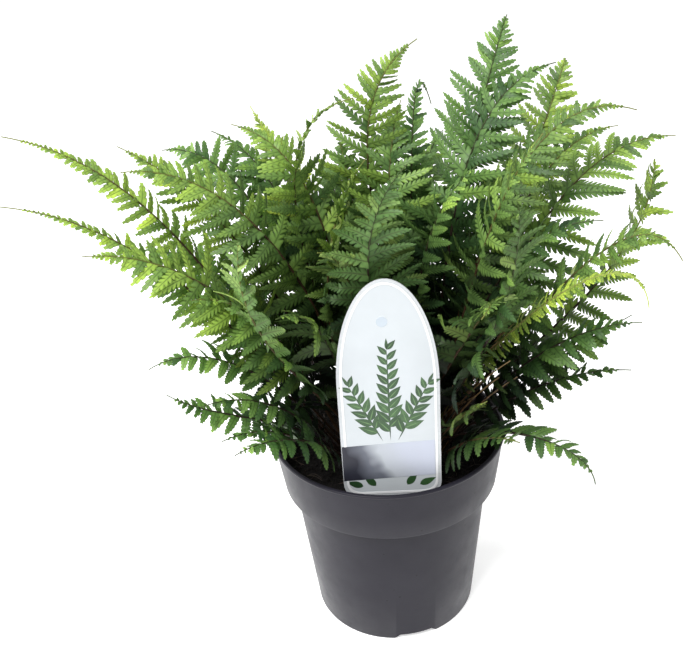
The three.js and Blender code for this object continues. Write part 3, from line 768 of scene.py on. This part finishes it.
def make_crumbs(random):
    """Crumbs of soil: uneven icosahedra, small ones more often than large ones."""
    shell = Shell()
    for _ in range(CRUMBS["count"]):
        radius = CRUMBS["inner"] + CRUMBS["width"] * math.sqrt(random.random())
        angle = random.uniform(0, 2 * math.pi)
        size = CRUMBS["least"] + CRUMBS["gain"] * random.random() ** CRUMBS["power"]
        radius = min(radius, CRUMBS["edge"] - size)
        form = ICOSA_POINTS * random.uniform(*CRUMBS["uneven"], (len(ICOSA_POINTS), 1))
        form *= random.uniform(*CRUMBS["stretch"])
        turn = random.uniform(0, math.pi)
        x = form[:, 0] * math.cos(turn) - form[:, 1] * math.sin(turn)
        y = form[:, 0] * math.sin(turn) + form[:, 1] * math.cos(turn)
        height = soil_height(radius, angle) + 0.25 * size
        place = (radius * math.cos(angle), radius * math.sin(angle), height)
        shell.add(np.column_stack((x, y, form[:, 2])) * size + place, ICOSA_FACES)
    dress(shell.piece("soil_crumbs", [soil_material("soil_crumb", 1.7)]), "potting_soil")


def make_fibres(random):
    shell = Shell()
    step = np.linspace(-0.5, 0.5, 7)
    for _ in range(FIBRES["count"]):
        radius = random.uniform(*FIBRES["radius"])
        angle = random.uniform(0, 2 * math.pi)
        way = random.uniform(0, 2 * math.pi)
        length = random.uniform(*FIBRES["length"])
        bend = random.uniform(-FIBRES["bend"], FIBRES["bend"])
        x = radius * math.cos(angle) + length * step * math.cos(way)
        y = radius * math.sin(angle) + length * step * math.sin(way) + bend * length * step * step * 8
        reach = np.hypot(x, y)
        if reach.max() > FIBRES["edge"]:
            continue
        lift = soil_height(reach, np.arctan2(y, x)) + 0.6 + 0.5 * (1 - (2 * step) ** 2)
        thickness = random.uniform(*FIBRES["thickness"])
        shell.add(*tube(np.column_stack((x, y, lift)), np.full(len(step), thickness), 4))
    dress(shell.piece("soil_fibres", [scale_material()]), "potting_soil")


# The crown

def crown_section():
    radius, bottom, edge, top = (CROWN[name] for name in ("radius", "bottom", "edge", "top"))
    waist = radius * 0.6
    return [
        (0, bottom), (radius - 1, bottom), (radius, bottom + 1), (radius, edge - 2),
        (radius - 1, edge - 0.4), (radius - 4, edge + 1), (waist + 5, top - 3.2), (waist, top - 1.8),
        (waist - 6, top - 0.9), (6, top - 0.2), (0, top),
    ]


def make_crown(random):
    points, faces = turned(crown_section(), CROWN["sides"])
    high = points[:, 2] > CROWN["edge"] - 1
    points[high, 2] -= random.uniform(0, CROWN["wear"], high.sum())
    mound = mesh_piece("crown_mound", points, faces, [soil_material("crown_base", 1.8)], smooth_angle=60)
    dress(mound, "crown_scales", "crown")


def make_crown_scales(random):
    """Papery scales that cover the crown and lean outwards."""
    shell = Shell()
    fall = (CROWN["top"] - CROWN["edge"]) / CROWN["radius"] ** 2
    for _ in range(CROWN_SCALES["count"]):
        radius = CROWN["radius"] * math.sqrt(random.random())
        angle = random.uniform(0, 2 * math.pi)
        out = np.array((math.cos(angle), math.sin(angle), 0))
        root = out * radius + (0, 0, CROWN["top"] - 1.5 - fall * radius ** 2)
        lean = random.uniform(*CROWN_SCALES["lean"])
        turn = angle + random.normal(0, CROWN_SCALES["turn"])
        way = np.array((math.cos(turn) * math.sin(lean), math.sin(turn) * math.sin(lean), math.cos(lean)))
        way *= random.uniform(*CROWN_SCALES["length"])
        width = random.uniform(*CROWN_SCALES["width"])
        shell.add(flake(root, way, width, (0, 0, 0.6) - out), FLAKE_FACES)
    dress(shell.piece("crown_scales", [scale_material()]), "crown_scales")


def make_dry_stalks(random):
    """Last year's thin dry stalks, which fan out from the crown below the blades."""
    shell = Shell("way")
    steps = np.linspace(0, 1, DRY["steps"])
    radii = np.linspace(*DRY["radii"], DRY["steps"])
    drawn = ("azimuth", "length", "rise", "drop", "foot")
    for _ in range(DRY["count"]):
        azimuth, length, rise, drop, foot = (random.uniform(*DRY[name]) for name in drawn)
        sway = random.normal(0, DRY["sway"]) * length
        path = np.array([length * share * heading(azimuth, rise - drop * share) for share in steps])
        path += foot * heading(azimuth, 0) + (0, 0, CROWN["edge"] - 2)
        path += sway * np.outer(steps ** 2, heading(azimuth + 90, 0))
        shell.add(*tube(path, radii, DRY["sides"]), way=np.repeat(steps, DRY["sides"]))
    material = stem_material("stalk_dry", (0.1, 0.055, 0.025), (0.3, 0.2, 0.09))
    dress(shell.piece("crown_dry_stalks", [material], 60), "crown_scales")


# The label

def label_outline(inset, arch_steps=40, corner_steps=8):
    """The label's outline above the soil, as points across and up, from the lower right over the arch."""
    half = LABEL["width"] / 2 - inset
    corner = LABEL["corner"] - 0.5 * inset
    shoulder, arch = LABEL["height"] - LABEL["arch"], LABEL["arch"] - inset
    shares = [step / corner_steps for step in range(corner_steps + 1)]
    angles = [math.pi * step / arch_steps for step in range(arch_steps + 1)]
    right = [(half - corner * (1 - share) ** 2, inset + corner * share ** 2) for share in shares]
    over = [(half * math.cos(angle), shoulder + arch * math.sin(angle)) for angle in angles]
    return right + over + [(-x, y) for x, y in right[::-1]]


def label_matrix():
    place = Matrix.Translation((LABEL["x"] * MM, LABEL["y"] * MM, LABEL["foot"] * MM))
    return place @ Matrix.Rotation(math.radians(90 - LABEL["lean"]), 4, "X")


def prism(outline, low, high, bevel=0):
    """A closed plate between two heights, its upper edge rounded by a small bevel."""
    outline = np.asarray(outline, float)
    rims = [(outline, low), (outline, high - bevel)]
    if bevel:
        rims.append((outline - bevel * unit(outline - outline.mean(axis=0)), high))
    count = len(outline)
    top = (len(rims) - 1) * count
    points = [(x, y, z) for rim, z in rims for x, y in rim]
    ends = [tuple(range(count))[::-1], tuple(range(top, top + count))]
    return points, ends + band_faces(range(len(rims)), count)


def card_outline():
    """The whole card with the stake that stands in the soil."""
    stake, length = LABEL["stake_width"] / 2, LABEL["stake_length"]
    taper = LABEL["tip_length"] - length
    return label_outline(0) + [(-stake, 0), (-stake, taper), (0, -length), (stake, taper), (stake, 0)]


def edge_line(high):
    """The raised line inside the card's rim: a ring between two outlines."""
    outer, inner = (label_outline(inset) for inset in LABEL["line"])
    rims = ((outer, 0), (outer, high), (inner, high), (inner, 0))
    return [(x, y, z) for rim, z in rims for x, y in rim], band_faces((0, 1, 2, 3, 0), len(outer))


def band_outline():
    """The band across the label's foot: it reaches the card's left edge and stops at the right border."""
    left, right = 0.3 - LABEL["width"] / 2, LABEL["width"] / 2 - LABEL["panel"]
    (left_low, left_high), (right_low, right_high) = BAND["left"], BAND["right"]
    return [(left, left_low), (right, right_low), (right, right_high), (left, left_high)]


def spot_outline():
    return ring(full_turn(SPOT["sides"]), SPOT["radius"], 0)[:, :2] + (SPOT["x"], SPOT["y"])


def lay_on_label(piece, *nodes):
    piece.data.transform(label_matrix())
    dress(piece, "label_plastic", *nodes)


def label_piece(name, plate, material, *nodes):
    lay_on_label(mesh_piece(name, *plate, [material]), *nodes)


def make_label():
    front = LABEL["thickness"] / 2
    label_piece("label_card", prism(card_outline(), -front, front - 0.08), label_material(), "label")
    line = plain_material("label_line", (0.8, 0.81, 0.82), 0.25)
    label_piece("label_edge_line", edge_line(front + 0.14), line)
    panel = plain_material("label_panel", (0.53, 0.565, 0.59), 0.3)
    label_piece("label_panel", prism(label_outline(LABEL["panel"]), 0, front), panel)
    label_piece("label_band", prism(band_outline(), 0, front + 0.16), band_material())
    spot = plain_material("label_spot", (0.46, 0.52, 0.58), 0.2)
    label_piece("label_moulding_spot", prism(spot_outline(), 0, front + 0.1, 0.6), spot)
    make_print(front + 0.03)


def leaf_outline(root, angle, length, width):
    steps = np.linspace(0, 1, 12)
    spread = width / 2 * np.sin(math.pi * steps ** 0.75) * (1 - 0.2 * steps)
    upper = [(length * step, half) for step, half in zip(steps, spread)]
    lower = [(x, -half) for x, half in upper[-2:0:-1]]
    cos, sin = math.cos(angle), math.sin(angle)
    return [(root[0] + x * cos - y * sin, root[1] + x * sin + y * cos) for x, y in upper + lower][::-1]


def make_print(high):
    """A plain fan of sprigs with small oval leaves above the band, and a few leaf ends below it."""
    shell = Shell("tone")

    def add(high, tone, *leaf):
        shell.add(*prism(leaf_outline(*leaf), 0, high), tone=tone)

    for stem, (lean, length) in enumerate(zip(PRINT["leans"], PRINT["lengths"])):
        angle = math.radians(90 - lean)
        foot = np.array((PRINT["spread"] * math.sin(math.radians(lean)), PRINT["foot"]))
        way = np.array((math.cos(angle), math.sin(angle)))
        add(high, 0.1, foot, angle, length, PRINT["stem"])
        pairs = int(length / PRINT["pitch"])
        for pair in range(1, pairs):
            size = PRINT["leaf"] * (1.1 - 0.5 * pair / pairs)
            for side, sign in enumerate((1, -1)):
                root = foot + way * PRINT["pitch"] * (pair + 0.5 * side)
                turn = angle + sign * math.radians(PRINT["open"])
                tone = 0.25 + (0.37 * (pair + stem + side)) % 0.5
                add(high + 0.01 * (stem + 1), tone, root, turn, size, PRINT["broad"] * size)
                add(high + 0.01 * (stem + 2), 1, root, turn, 0.8 * size, 0.06 * size)
        add(high + 0.02, 0.5, foot + 0.95 * length * way, angle, 0.6 * PRINT["leaf"], 1.6)
    for number, x in enumerate(PRINT["end_places"]):
        turn = math.radians(90 - 5 * x)
        add(high, 0.2 + 0.15 * number, (x, PRINT["end_foot"]), turn, *PRINT["end_leaf"])
    lay_on_label(shell.piece("label_print", [print_material()]))


# The fronds

def rear_fronds():
    """The rear fronds' rows, from the same seeded draws as the solids'."""
    factor, modulus = 16807, 2147483647
    state = REAR["seed"]
    wander = REAR["wander"]

    def around(middle, size):
        nonlocal state
        state = state * factor % modulus
        return middle + size * (2 * state / modulus - 1)

    rows = []
    for index in range(REAR["count"]):
        reach, height = REAR["forms"][index % len(REAR["forms"])]
        rows.append([
            around(REAR["first_azimuth"] + REAR["step"] * index, wander["azimuth"]),
            around(reach, wander["reach"]),
            around(height, wander["reach"]),
            around(REAR["launch"], wander["launch"]),
            around(REAR["tip_rise"], wander["tip_rise"]),
            0,
            around(REAR["half_width"], wander["half_width"]),
            around(0, wander["turn"]),
            around(REAR["age"], wander["age"]),
        ])
    return rows


class Spine:
    """A frond's middle line, which gives its place and its three directions at lengths from the foot."""

    def __init__(self, row, foot):
        azimuth, reach, height, launch, tip_rise, sweep, _, turn, _ = row
        tip = reach * heading(azimuth, 0) + (0, 0, height)
        chord = np.linalg.norm(tip - foot)
        near = foot + NEAR_PULL * chord * heading(azimuth, launch)
        far = tip - FAR_PULL * chord * heading(azimuth + sweep, tip_rise)
        self.controls = np.array((foot, near, far, tip))
        self.across = heading(azimuth + 90, 0)
        self.turn = math.radians(turn)
        self.steps = np.linspace(0, 1, 201)
        strides = np.linalg.norm(np.diff(self.places(self.steps), axis=0), axis=1)
        self.lengths = np.concatenate(([0], np.cumsum(strides)))
        self.length = self.lengths[-1]
        self.blade_start = self.length * (1 - BLADE_SHARE)
        self.blade_length = self.length - self.blade_start
        pairs = math.floor(self.blade_length / PAIRS["spacing"] + 0.5)
        self.pairs = int(np.clip(pairs, PAIRS["fewest"], PAIRS["most"]))

    def places(self, steps):
        a, b, c, d = self.controls
        t = steps[:, None]
        s = 1 - t
        return s ** 3 * a + 3 * s * s * t * b + 3 * s * t * t * c + t ** 3 * d

    def at(self, lengths):
        steps = np.interp(lengths, self.lengths, self.steps)
        a, b, c, d = self.controls
        t = steps[:, None]
        s = 1 - t
        along = unit(3 * s * s * (b - a) + 6 * s * t * (c - b) + 3 * t * t * (d - c))
        side = unit(self.across - (along @ self.across)[:, None] * along)
        face = np.cross(along, side)
        cos, sin = math.cos(self.turn), math.sin(self.turn)
        return self.places(steps), along, cos * side - sin * face, cos * face + sin * side

    def frame(self, length):
        """The place and the three directions at one length."""
        return [value[0] for value in self.at(np.array([length]))]

    def blade_at(self, share):
        """The length at a share of the blade."""
        return self.blade_start + self.blade_length * share


def blade_taper(tip_rise):
    """How fast a blade tapers, from how upright its tip is."""
    sines = [math.sin(math.radians(rise)) for rise in WIDTH_AT["rises"]]
    return np.interp(math.sin(math.radians(tip_rise)), sines, (WIDTH_AT["arching"], WIDTH_AT["upright"]))


def blade_width(share, taper):
    foot = np.minimum(WIDTH_AT["foot"] + WIDTH_AT["gain"] * share, 1)
    return foot * (1 - share ** WIDTH_AT["power"]) ** taper + WIDTH_AT["least"]


def share_at(pair, pairs):
    return 1 - (1 - pair / pairs) ** PAIRS["crowding"]


def leaf_directions(along, side, face, sign, forward, tilt):
    """The way a leaflet points and its upward way, for a forward angle and a tilt about the rib."""
    out = sign * math.cos(forward) * side + math.sin(forward) * along
    return math.cos(tilt) * out + math.sin(tilt) * face, math.cos(tilt) * face - math.sin(tilt) * out


def coarse_form(spot, sign, forward, full, corners):
    """The tilt and the scale with which a leaflet's tip meets a corner of the solid."""
    place, *directions = spot
    best = LEFT_OUT
    for scale in SCALES:
        reach = full * scale
        for degrees in TILTS:
            tilt = math.radians(degrees)
            leaf, lift = leaf_directions(*directions, sign, forward, tilt)
            tip = place + leaf * reach + lift * (LEAF_THICKNESS / 2 - LEAFLET["droop"] * reach)
            miss = np.linalg.norm(corners - tip, axis=1).min()
            if miss < best[0]:
                best = (miss, tilt, scale)
    return best[1:]


def coarse_leaflets(spine, half_width, taper, corners):
    """Tilt and scale of each leaflet of the solid, the tilts smoothed along the blade."""
    found = np.zeros((2, spine.pairs, 2))
    for pair in range(spine.pairs):
        start, end = (spine.blade_at(share_at(number, spine.pairs)) for number in (pair, pair + 1))
        spot = spine.frame((start + end) / 2)
        forward = math.radians(LEAFLET["forward"] + LEAFLET["forward_gain"] * (pair + 0.5) / spine.pairs)
        full = half_width * blade_width(share_at(pair + 0.5, spine.pairs), taper)
        for column, sign in enumerate((1, -1)):
            found[column, pair] = coarse_form(spot, sign, forward, full, corners)
    middle = found[:, 1:-1, 0]
    middle[:] = 0.5 * middle + 0.25 * (found[:, :-2, 0] + found[:, 2:, 0])
    return found


def leaflet_mesh(length, breadth, lobes, divided, random):
    """One divided leaflet in its own plane: u along it, v across, h up.

    Each lobe is a low pillow that leans forward. The upper and the lower side share its rim.
    A short leaflet is oblong with a round end and fine teeth, and a long one pointed with deep notches,
    as far as its frond is divided. The values are points, faces, kinds, edge and lobe.
    """
    stalk = min(FINE["foot"], 0.12 * length)
    shares = np.arange(lobes + 1) / lobes
    bounds = stalk + (length - stalk) * (1 - (1 - shares) ** 1.2)
    forms = (FORM["power"], FORM["rounding"], FORM["lean"])
    power, rounding, lean = (np.interp(length, FORM["sizes"], form) for form in forms)
    middle_depth = FORM["teeth"] - divided * np.interp(length, FORM["dividing"], (0, FORM["notches"]))
    depth = np.interp(shares, (0, 0.12, 0.6, 1), (0.95, middle_depth, 0.3 + 0.66 * middle_depth, 0.9))
    thick = FINE["thickness"]
    points, edge, lobe, faces, kinds = [], [], [], [], []

    def half(u):
        share = np.clip(u / length, 0, 1)
        return breadth * (1 - 0.14 * share) * (1 - share ** power) ** rounding

    def put(u, v, h, at_edge, at_lobe):
        points.append((u, v, h))
        edge.append(at_edge)
        lobe.append(at_lobe)
        return len(points) - 1

    upper = [put(u, 0, -0.02, 0, 0.5) for u in bounds[:-1]]
    lower = [put(u, 0, -0.02 - thick - 0.12 * (1 - share), 0, 0.5) for u, share in zip(bounds[:-1], shares)]
    tip = put(bounds[-1], 0, -0.1, 0.6, 0.4)
    upper.append(tip)
    lower.append(tip)
    notches = {}
    for sign in (1, -1):
        row = []
        for u, share in zip(bounds[:-1], depth):
            v = max(share * half(u), 0.2)
            row.append(put(u + lean * v * (u > stalk), sign * v, -0.12, 0.9, 1))
        row.append(tip)
        notches[sign] = row
        for n in range(lobes):
            start, pitch = bounds[n], bounds[n + 1] - bounds[n]
            wide = half(start + 0.5 * pitch) * random.uniform(*WANDER["lobe"])
            if n == 0 and sign == 1:
                wide *= FORM["first_lobe"]
            rim = [row[n]]
            for along, way_out, near in RIM:
                notch = depth[n] + (depth[n + 1] - depth[n]) * along
                v = (notch + (1 - notch) * way_out) * wide
                rim.append(put(start + along * pitch + lean * v, sign * v, -0.06 * v * v / wide, 0.95, near))
            rim.append(row[n + 1])
            swell = 0.12 + 0.085 * wide
            out = FORM["crest"] * wide
            centre = start + 0.5 * pitch + lean * out
            crest = put(centre, sign * out, swell, 0.45, 0)
            hollow = put(centre, sign * out, swell - thick, 0.45, 0)
            for middle, heart, kind in ((upper, crest, 0), (lower, hollow, 1)):
                loop = [middle[n], *rim]
                if middle[n + 1] != row[n + 1]:
                    loop.append(middle[n + 1])
                for a, b in zip(loop, loop[1:] + loop[:1]):
                    faces.append((heart, a, b) if (sign == 1) == (kind == 1) else (heart, b, a))
                    kinds.append(kind)
    faces += [(notches[1][0], lower[0], upper[0]), (notches[-1][0], upper[0], lower[0])]
    kinds += [1, 1]
    return np.array(points), np.array(faces), np.array(kinds), np.array(edge), np.array(lobe)


def innerness(place):
    """From 0 outside the plant to 1 deep inside it and low."""
    low = np.clip((INNER_SHADE["high"] - place[2]) / (INNER_SHADE["high"] - INNER_SHADE["low"]), 0, 1)
    reach = math.hypot(place[0] - INNER_SHADE["x"], place[1] - INNER_SHADE["y"])
    return low * np.clip((INNER_SHADE["wide"] - reach) / (INNER_SHADE["wide"] - INNER_SHADE["narrow"]), 0, 1)


def keep_behind_label(points):
    """Bends the points that would come through the label back behind it."""
    lean = math.tan(math.radians(LABEL["lean"]))
    back = LABEL["y"] + LABEL["behind"] + lean * (points[:, 2] - LABEL["foot"])
    beside = np.abs(points[:, 0] - LABEL["x"]) < LABEL["width"] / 2 + LABEL["behind"]
    low = points[:, 2] < LABEL["foot"] + LABEL["height"] + LABEL["behind"]
    points[:, 1] = np.where(beside & low, np.maximum(points[:, 1], back), points[:, 1])


def add_leaflet(shell, spot, sign, forward, tilt, reach, pitch, tone, habit, random):
    """One fine leaflet at a spot of the rib: it arches, twists and swings a little by chance."""
    place, *directions = spot
    leaf, lift = leaf_directions(*directions, sign, forward, tilt)
    fore = sign * np.cross(leaf, lift)
    length = max(reach, FINE["least"])
    lobes = int(np.clip(round(length / habit["lobe_pitch"]), FINE["fewest_lobes"], FINE["most_lobes"]))
    breadth = min(FINE["breadth"] * pitch, FINE["slenderness"] * length)
    flat, faces, kinds, edge, lobe = leaflet_mesh(length, breadth, lobes, habit["divided"], random)
    base = np.clip(1 - flat[:, 0] / (FINE["base"] * breadth), 0, 1)
    flat[:, 0] += flat[:, 1] * math.tan(forward) * base
    twist = math.radians(FINE["twist"] + random.normal(0, WANDER["twist"]))
    across = math.cos(twist) * fore + math.sin(twist) * lift
    normal = math.cos(twist) * lift - math.sin(twist) * fore
    share = np.clip(flat[:, 0] / length, 0, 1)
    arch = FINE["arch"][0] * share - FINE["arch"][1] * share ** 2
    rise = reach * arch * random.uniform(1 - WANDER["droop"], 1 + WANDER["droop"])
    swing = FINE["swing"] * length * (share ** 2 - share) * random.uniform(*WANDER["swing"])
    points = place + np.outer(flat[:, 0], leaf) + np.outer(rise, lift) + np.outer(swing, fore)
    points += np.outer(flat[:, 1], across) + np.outer(flat[:, 2], normal)
    keep_behind_label(points)
    # Painted shade deep inside the plant: a lower tone and less light
    inner = innerness(place + 0.5 * length * leaf)
    tone = tone + random.normal(0, WANDER["tone"]) + TONE["tip"] * share - INNER_SHADE["tone"] * inner
    # The painted light in a leaflet's colour, dimmer towards the right as painted shade
    light = (1 - INNER_SHADE["shade"] * inner) * (LEAF_LIGHT - SIDE_LIGHT * place[0])
    values = {"tone": np.clip(tone, 0, 1), "edge": edge, "lobe": lobe, "light": light, "hue": habit["hue"]}
    shell.add(points, faces[:, ::-1] if sign == 1 else faces, kinds, **values)


def add_stalk(shell, spine):
    """The stalk, straight where it stands in the crown, and the rib."""
    stalk = np.linspace(0, spine.blade_start, STALK_STEPS)
    rib = np.linspace(spine.blade_start, spine.length, RIB_STEPS)
    lengths = np.concatenate((stalk, rib[1:]))
    place, _, side, face = spine.at(lengths)
    straight = lengths < STRAIGHT_FOOT
    share = (lengths[straight] / STRAIGHT_FOOT)[:, None]
    place[straight] = place[0] * (1 - share) + spine.frame(STRAIGHT_FOOT)[0] * share
    ends = (0, spine.blade_start, 0.7 * spine.blade_start + 0.3 * spine.length, spine.length)
    radii = np.interp(lengths, ends, (STALK_RADIUS, RIB_RADIUS, 0.9 * RIB_RADIUS, RIB_TIP_RADIUS))
    points = tube_points(place, side, face, radii, full_turn(STALK_SIDES))
    faces = tube_faces(len(lengths), STALK_SIDES)[:, ::-1]
    shell.add(points, faces, 2, way=np.repeat(lengths / spine.length, STALK_SIDES))


def add_scales(shell, spine, random):
    """Papery scales up the stalk, thinning out towards the blade."""
    for _ in range(STALK_SCALES["count"]):
        share = random.random() ** STALK_SCALES["thinning"]
        length = STALK_SCALES["foot"] + (spine.blade_start - STALK_SCALES["spare"]) * share
        place, along, side, face = spine.frame(length)
        angle = random.uniform(0, 2 * math.pi)
        out = math.cos(angle) * side + math.sin(angle) * face
        lean = random.uniform(*STALK_SCALES["lean"])
        size = random.uniform(*STALK_SCALES["length"]) * (1 - 0.5 * length / spine.blade_start)
        way = (math.cos(lean) * along + math.sin(lean) * out) * size
        width = random.uniform(*STALK_SCALES["width"])
        shell.add(flake(place + 0.8 * STALK_RADIUS * out, way, width, out), FLAKE_FACES, 3)


def leaflet_places(blade_length, half_width, taper, closeness):
    """Where the leaflet pairs grow, as shares of the blade's length, and their pitches."""
    places = []
    start = 0
    while start < 1:
        reach = half_width * blade_width(start, taper)
        pitch = (FINE["pitch"] + FINE["pitch_gain"] * reach) / closeness
        middle = start + 0.5 * pitch / blade_length
        if middle < 1 and half_width * blade_width(middle, taper) > FINE["least"]:
            places.append((middle, pitch))
        start += pitch / blade_length
    return places


def node_corners(name):
    """The different corners of a node's solid, in millimetres."""
    mesh = frame["nodes"][name].data
    corners = np.empty(len(mesh.vertices) * 3, dtype=np.float32)
    mesh.vertices.foreach_get("co", corners)
    return np.unique(np.round(corners.reshape(-1, 3).astype(float) / MM, 3), axis=0)


def make_frond(name, row, slot, materials):
    """The fine frond that follows one solid: its stalk, its scales and its divided leaflets."""
    random = np.random.default_rng(SEED + int(name[-2:]))
    _, far_reach, height, _, tip_rise, _, half_width, _, age = row
    corners = node_corners(name)
    foot = corners[np.argsort(corners[:, 2])[:4]].mean(axis=0)
    foot[2] = STALK_FOOT
    spine = Spine(row, foot)
    taper = blade_taper(tip_rise)
    coarse = coarse_leaflets(spine, half_width, taper, corners)
    shell = Shell("tone", "edge", "lobe", "way", "light", "hue")
    add_stalk(shell, spine)
    add_scales(shell, spine, random)
    closeness, unruly, divided = (
        np.interp(height, FINE["heights"], FINE[value]) for value in ("closeness", "unruly", "divided")
    )
    closeness *= np.interp(age, *FINE["folded"])
    # What a frond's leaflets have in common. Their hue is cooler in an old frond than in a new one.
    habit = {
        "divided": divided,
        "lobe_pitch": random.uniform(*FINE["lobe_pitch"]) * (0.7 + 0.3 * divided),
        "hue": random.uniform(0.75 * age, 0.25 + 0.75 * age),
    }
    slimness = np.interp(age, *FINE["slimness"])
    far = np.interp(far_reach, FINE["far"], (0, 1))
    centres = np.arange(spine.pairs) + 0.5
    for share, pitch in leaflet_places(spine.blade_length, half_width, taper, closeness):
        at = spine.pairs * (1 - (1 - share) ** (1 / PAIRS["crowding"]))
        tone = TONE["base"] + TONE["age"] * age + TONE["along"] * share
        width = half_width * blade_width(share, taper)
        for (tilts, scales), sign in zip(coarse.transpose(0, 2, 1), (1, -1)):
            spot = spine.frame(min(spine.blade_at(share) + FINE["offset"] * pitch * sign, spine.length))
            tilt = np.interp(at, centres, tilts) + random.normal(0, unruly * WANDER["tilt"])
            scale = np.interp(at, centres, scales) ** FINE["regrowth"] * random.uniform(*WANDER["length"])
            forward = LEAFLET["forward"] + LEAFLET["forward_gain"] * at / spine.pairs
            forward = math.radians(forward + random.normal(0, unruly * WANDER["forward"]))
            reach = width * scale * slimness * (1 - far * np.interp(share, *FINE["narrowing"]))
            add_leaflet(shell, spot, sign, forward, tilt, reach, pitch, tone, habit, random)
    dress(shell.piece(name + "_fine", materials, 62), slot, name)


def stem_for(age, stems):
    """The stalk's material for a frond's age."""
    if age > YOUNG_AGE:
        return stems["young"]
    if age >= WARM_AGE:
        return stems["warm"]
    return stems["dark"]


def make_fronds():
    leaf = [leaf_material("leaf_upper", *UPPER_SIDE), leaf_material("leaf_under", *LOWER_SIDE)]
    stems = {name: stem_material("stalk_" + name, *colors) for name, colors in STEM_COLORS.items()}
    scales = scale_material()
    slots = {part["node"]: part["material_slot"] for part in frame["record"]["subparts"]}
    for index, row in enumerate(FRONDS + rear_fronds()):
        name = f"frond_{index + 1:02d}"
        make_frond(name, row, slots[name], [*leaf, stem_for(row[-1], stems), scales])


# The studio

def area_light(name, place, target, size, power):
    data = bpy.data.lights.new(name, "AREA")
    data.shape = "RECTANGLE"
    data.size, data.size_y = size
    data.energy = power
    made = add_object(name, data)
    made.location = place
    made.rotation_euler = (Vector(target) - Vector(place)).to_track_quat("-Z", "Y").to_euler()


def studio_floor():
    white = plain_material("floor_white", (0.95, 0.95, 0.95), 0.8)
    shader = white.node_tree.nodes["Principled BSDF"]
    shader.inputs["Emission Color"].default_value = (1, 1, 1, 1)
    shader.inputs["Emission Strength"].default_value = FLOOR_GLOW
    corners = [(x * FLOOR_SIZE, y * FLOOR_SIZE, 0) for x, y in ((-1, -1), (1, -1), (1, 1), (-1, 1))]
    mesh_piece("floor", corners, [(0, 1, 2, 3)], [white])


def studio():
    world = bpy.data.worlds.new("studio")
    world.use_nodes = True
    background = world.node_tree.nodes["Background"]
    background.inputs["Color"].default_value = (1, 1, 1, 1)
    background.inputs["Strength"].default_value = SKY
    bpy.context.scene.world = world
    bpy.context.scene.view_settings.view_transform = "Standard"
    studio_floor()
    for name, light in LIGHTS.items():
        area_light(name, *light)


def main():
    random = np.random.default_rng(SEED)
    camera()
    studio()
    make_pot()
    make_soil(random)
    make_crumbs(random)
    make_fibres(random)
    make_crown(random)
    make_crown_scales(random)
    make_dry_stalks(random)
    make_label()
    make_fronds()


main()
bpy.context.view_layer.update()
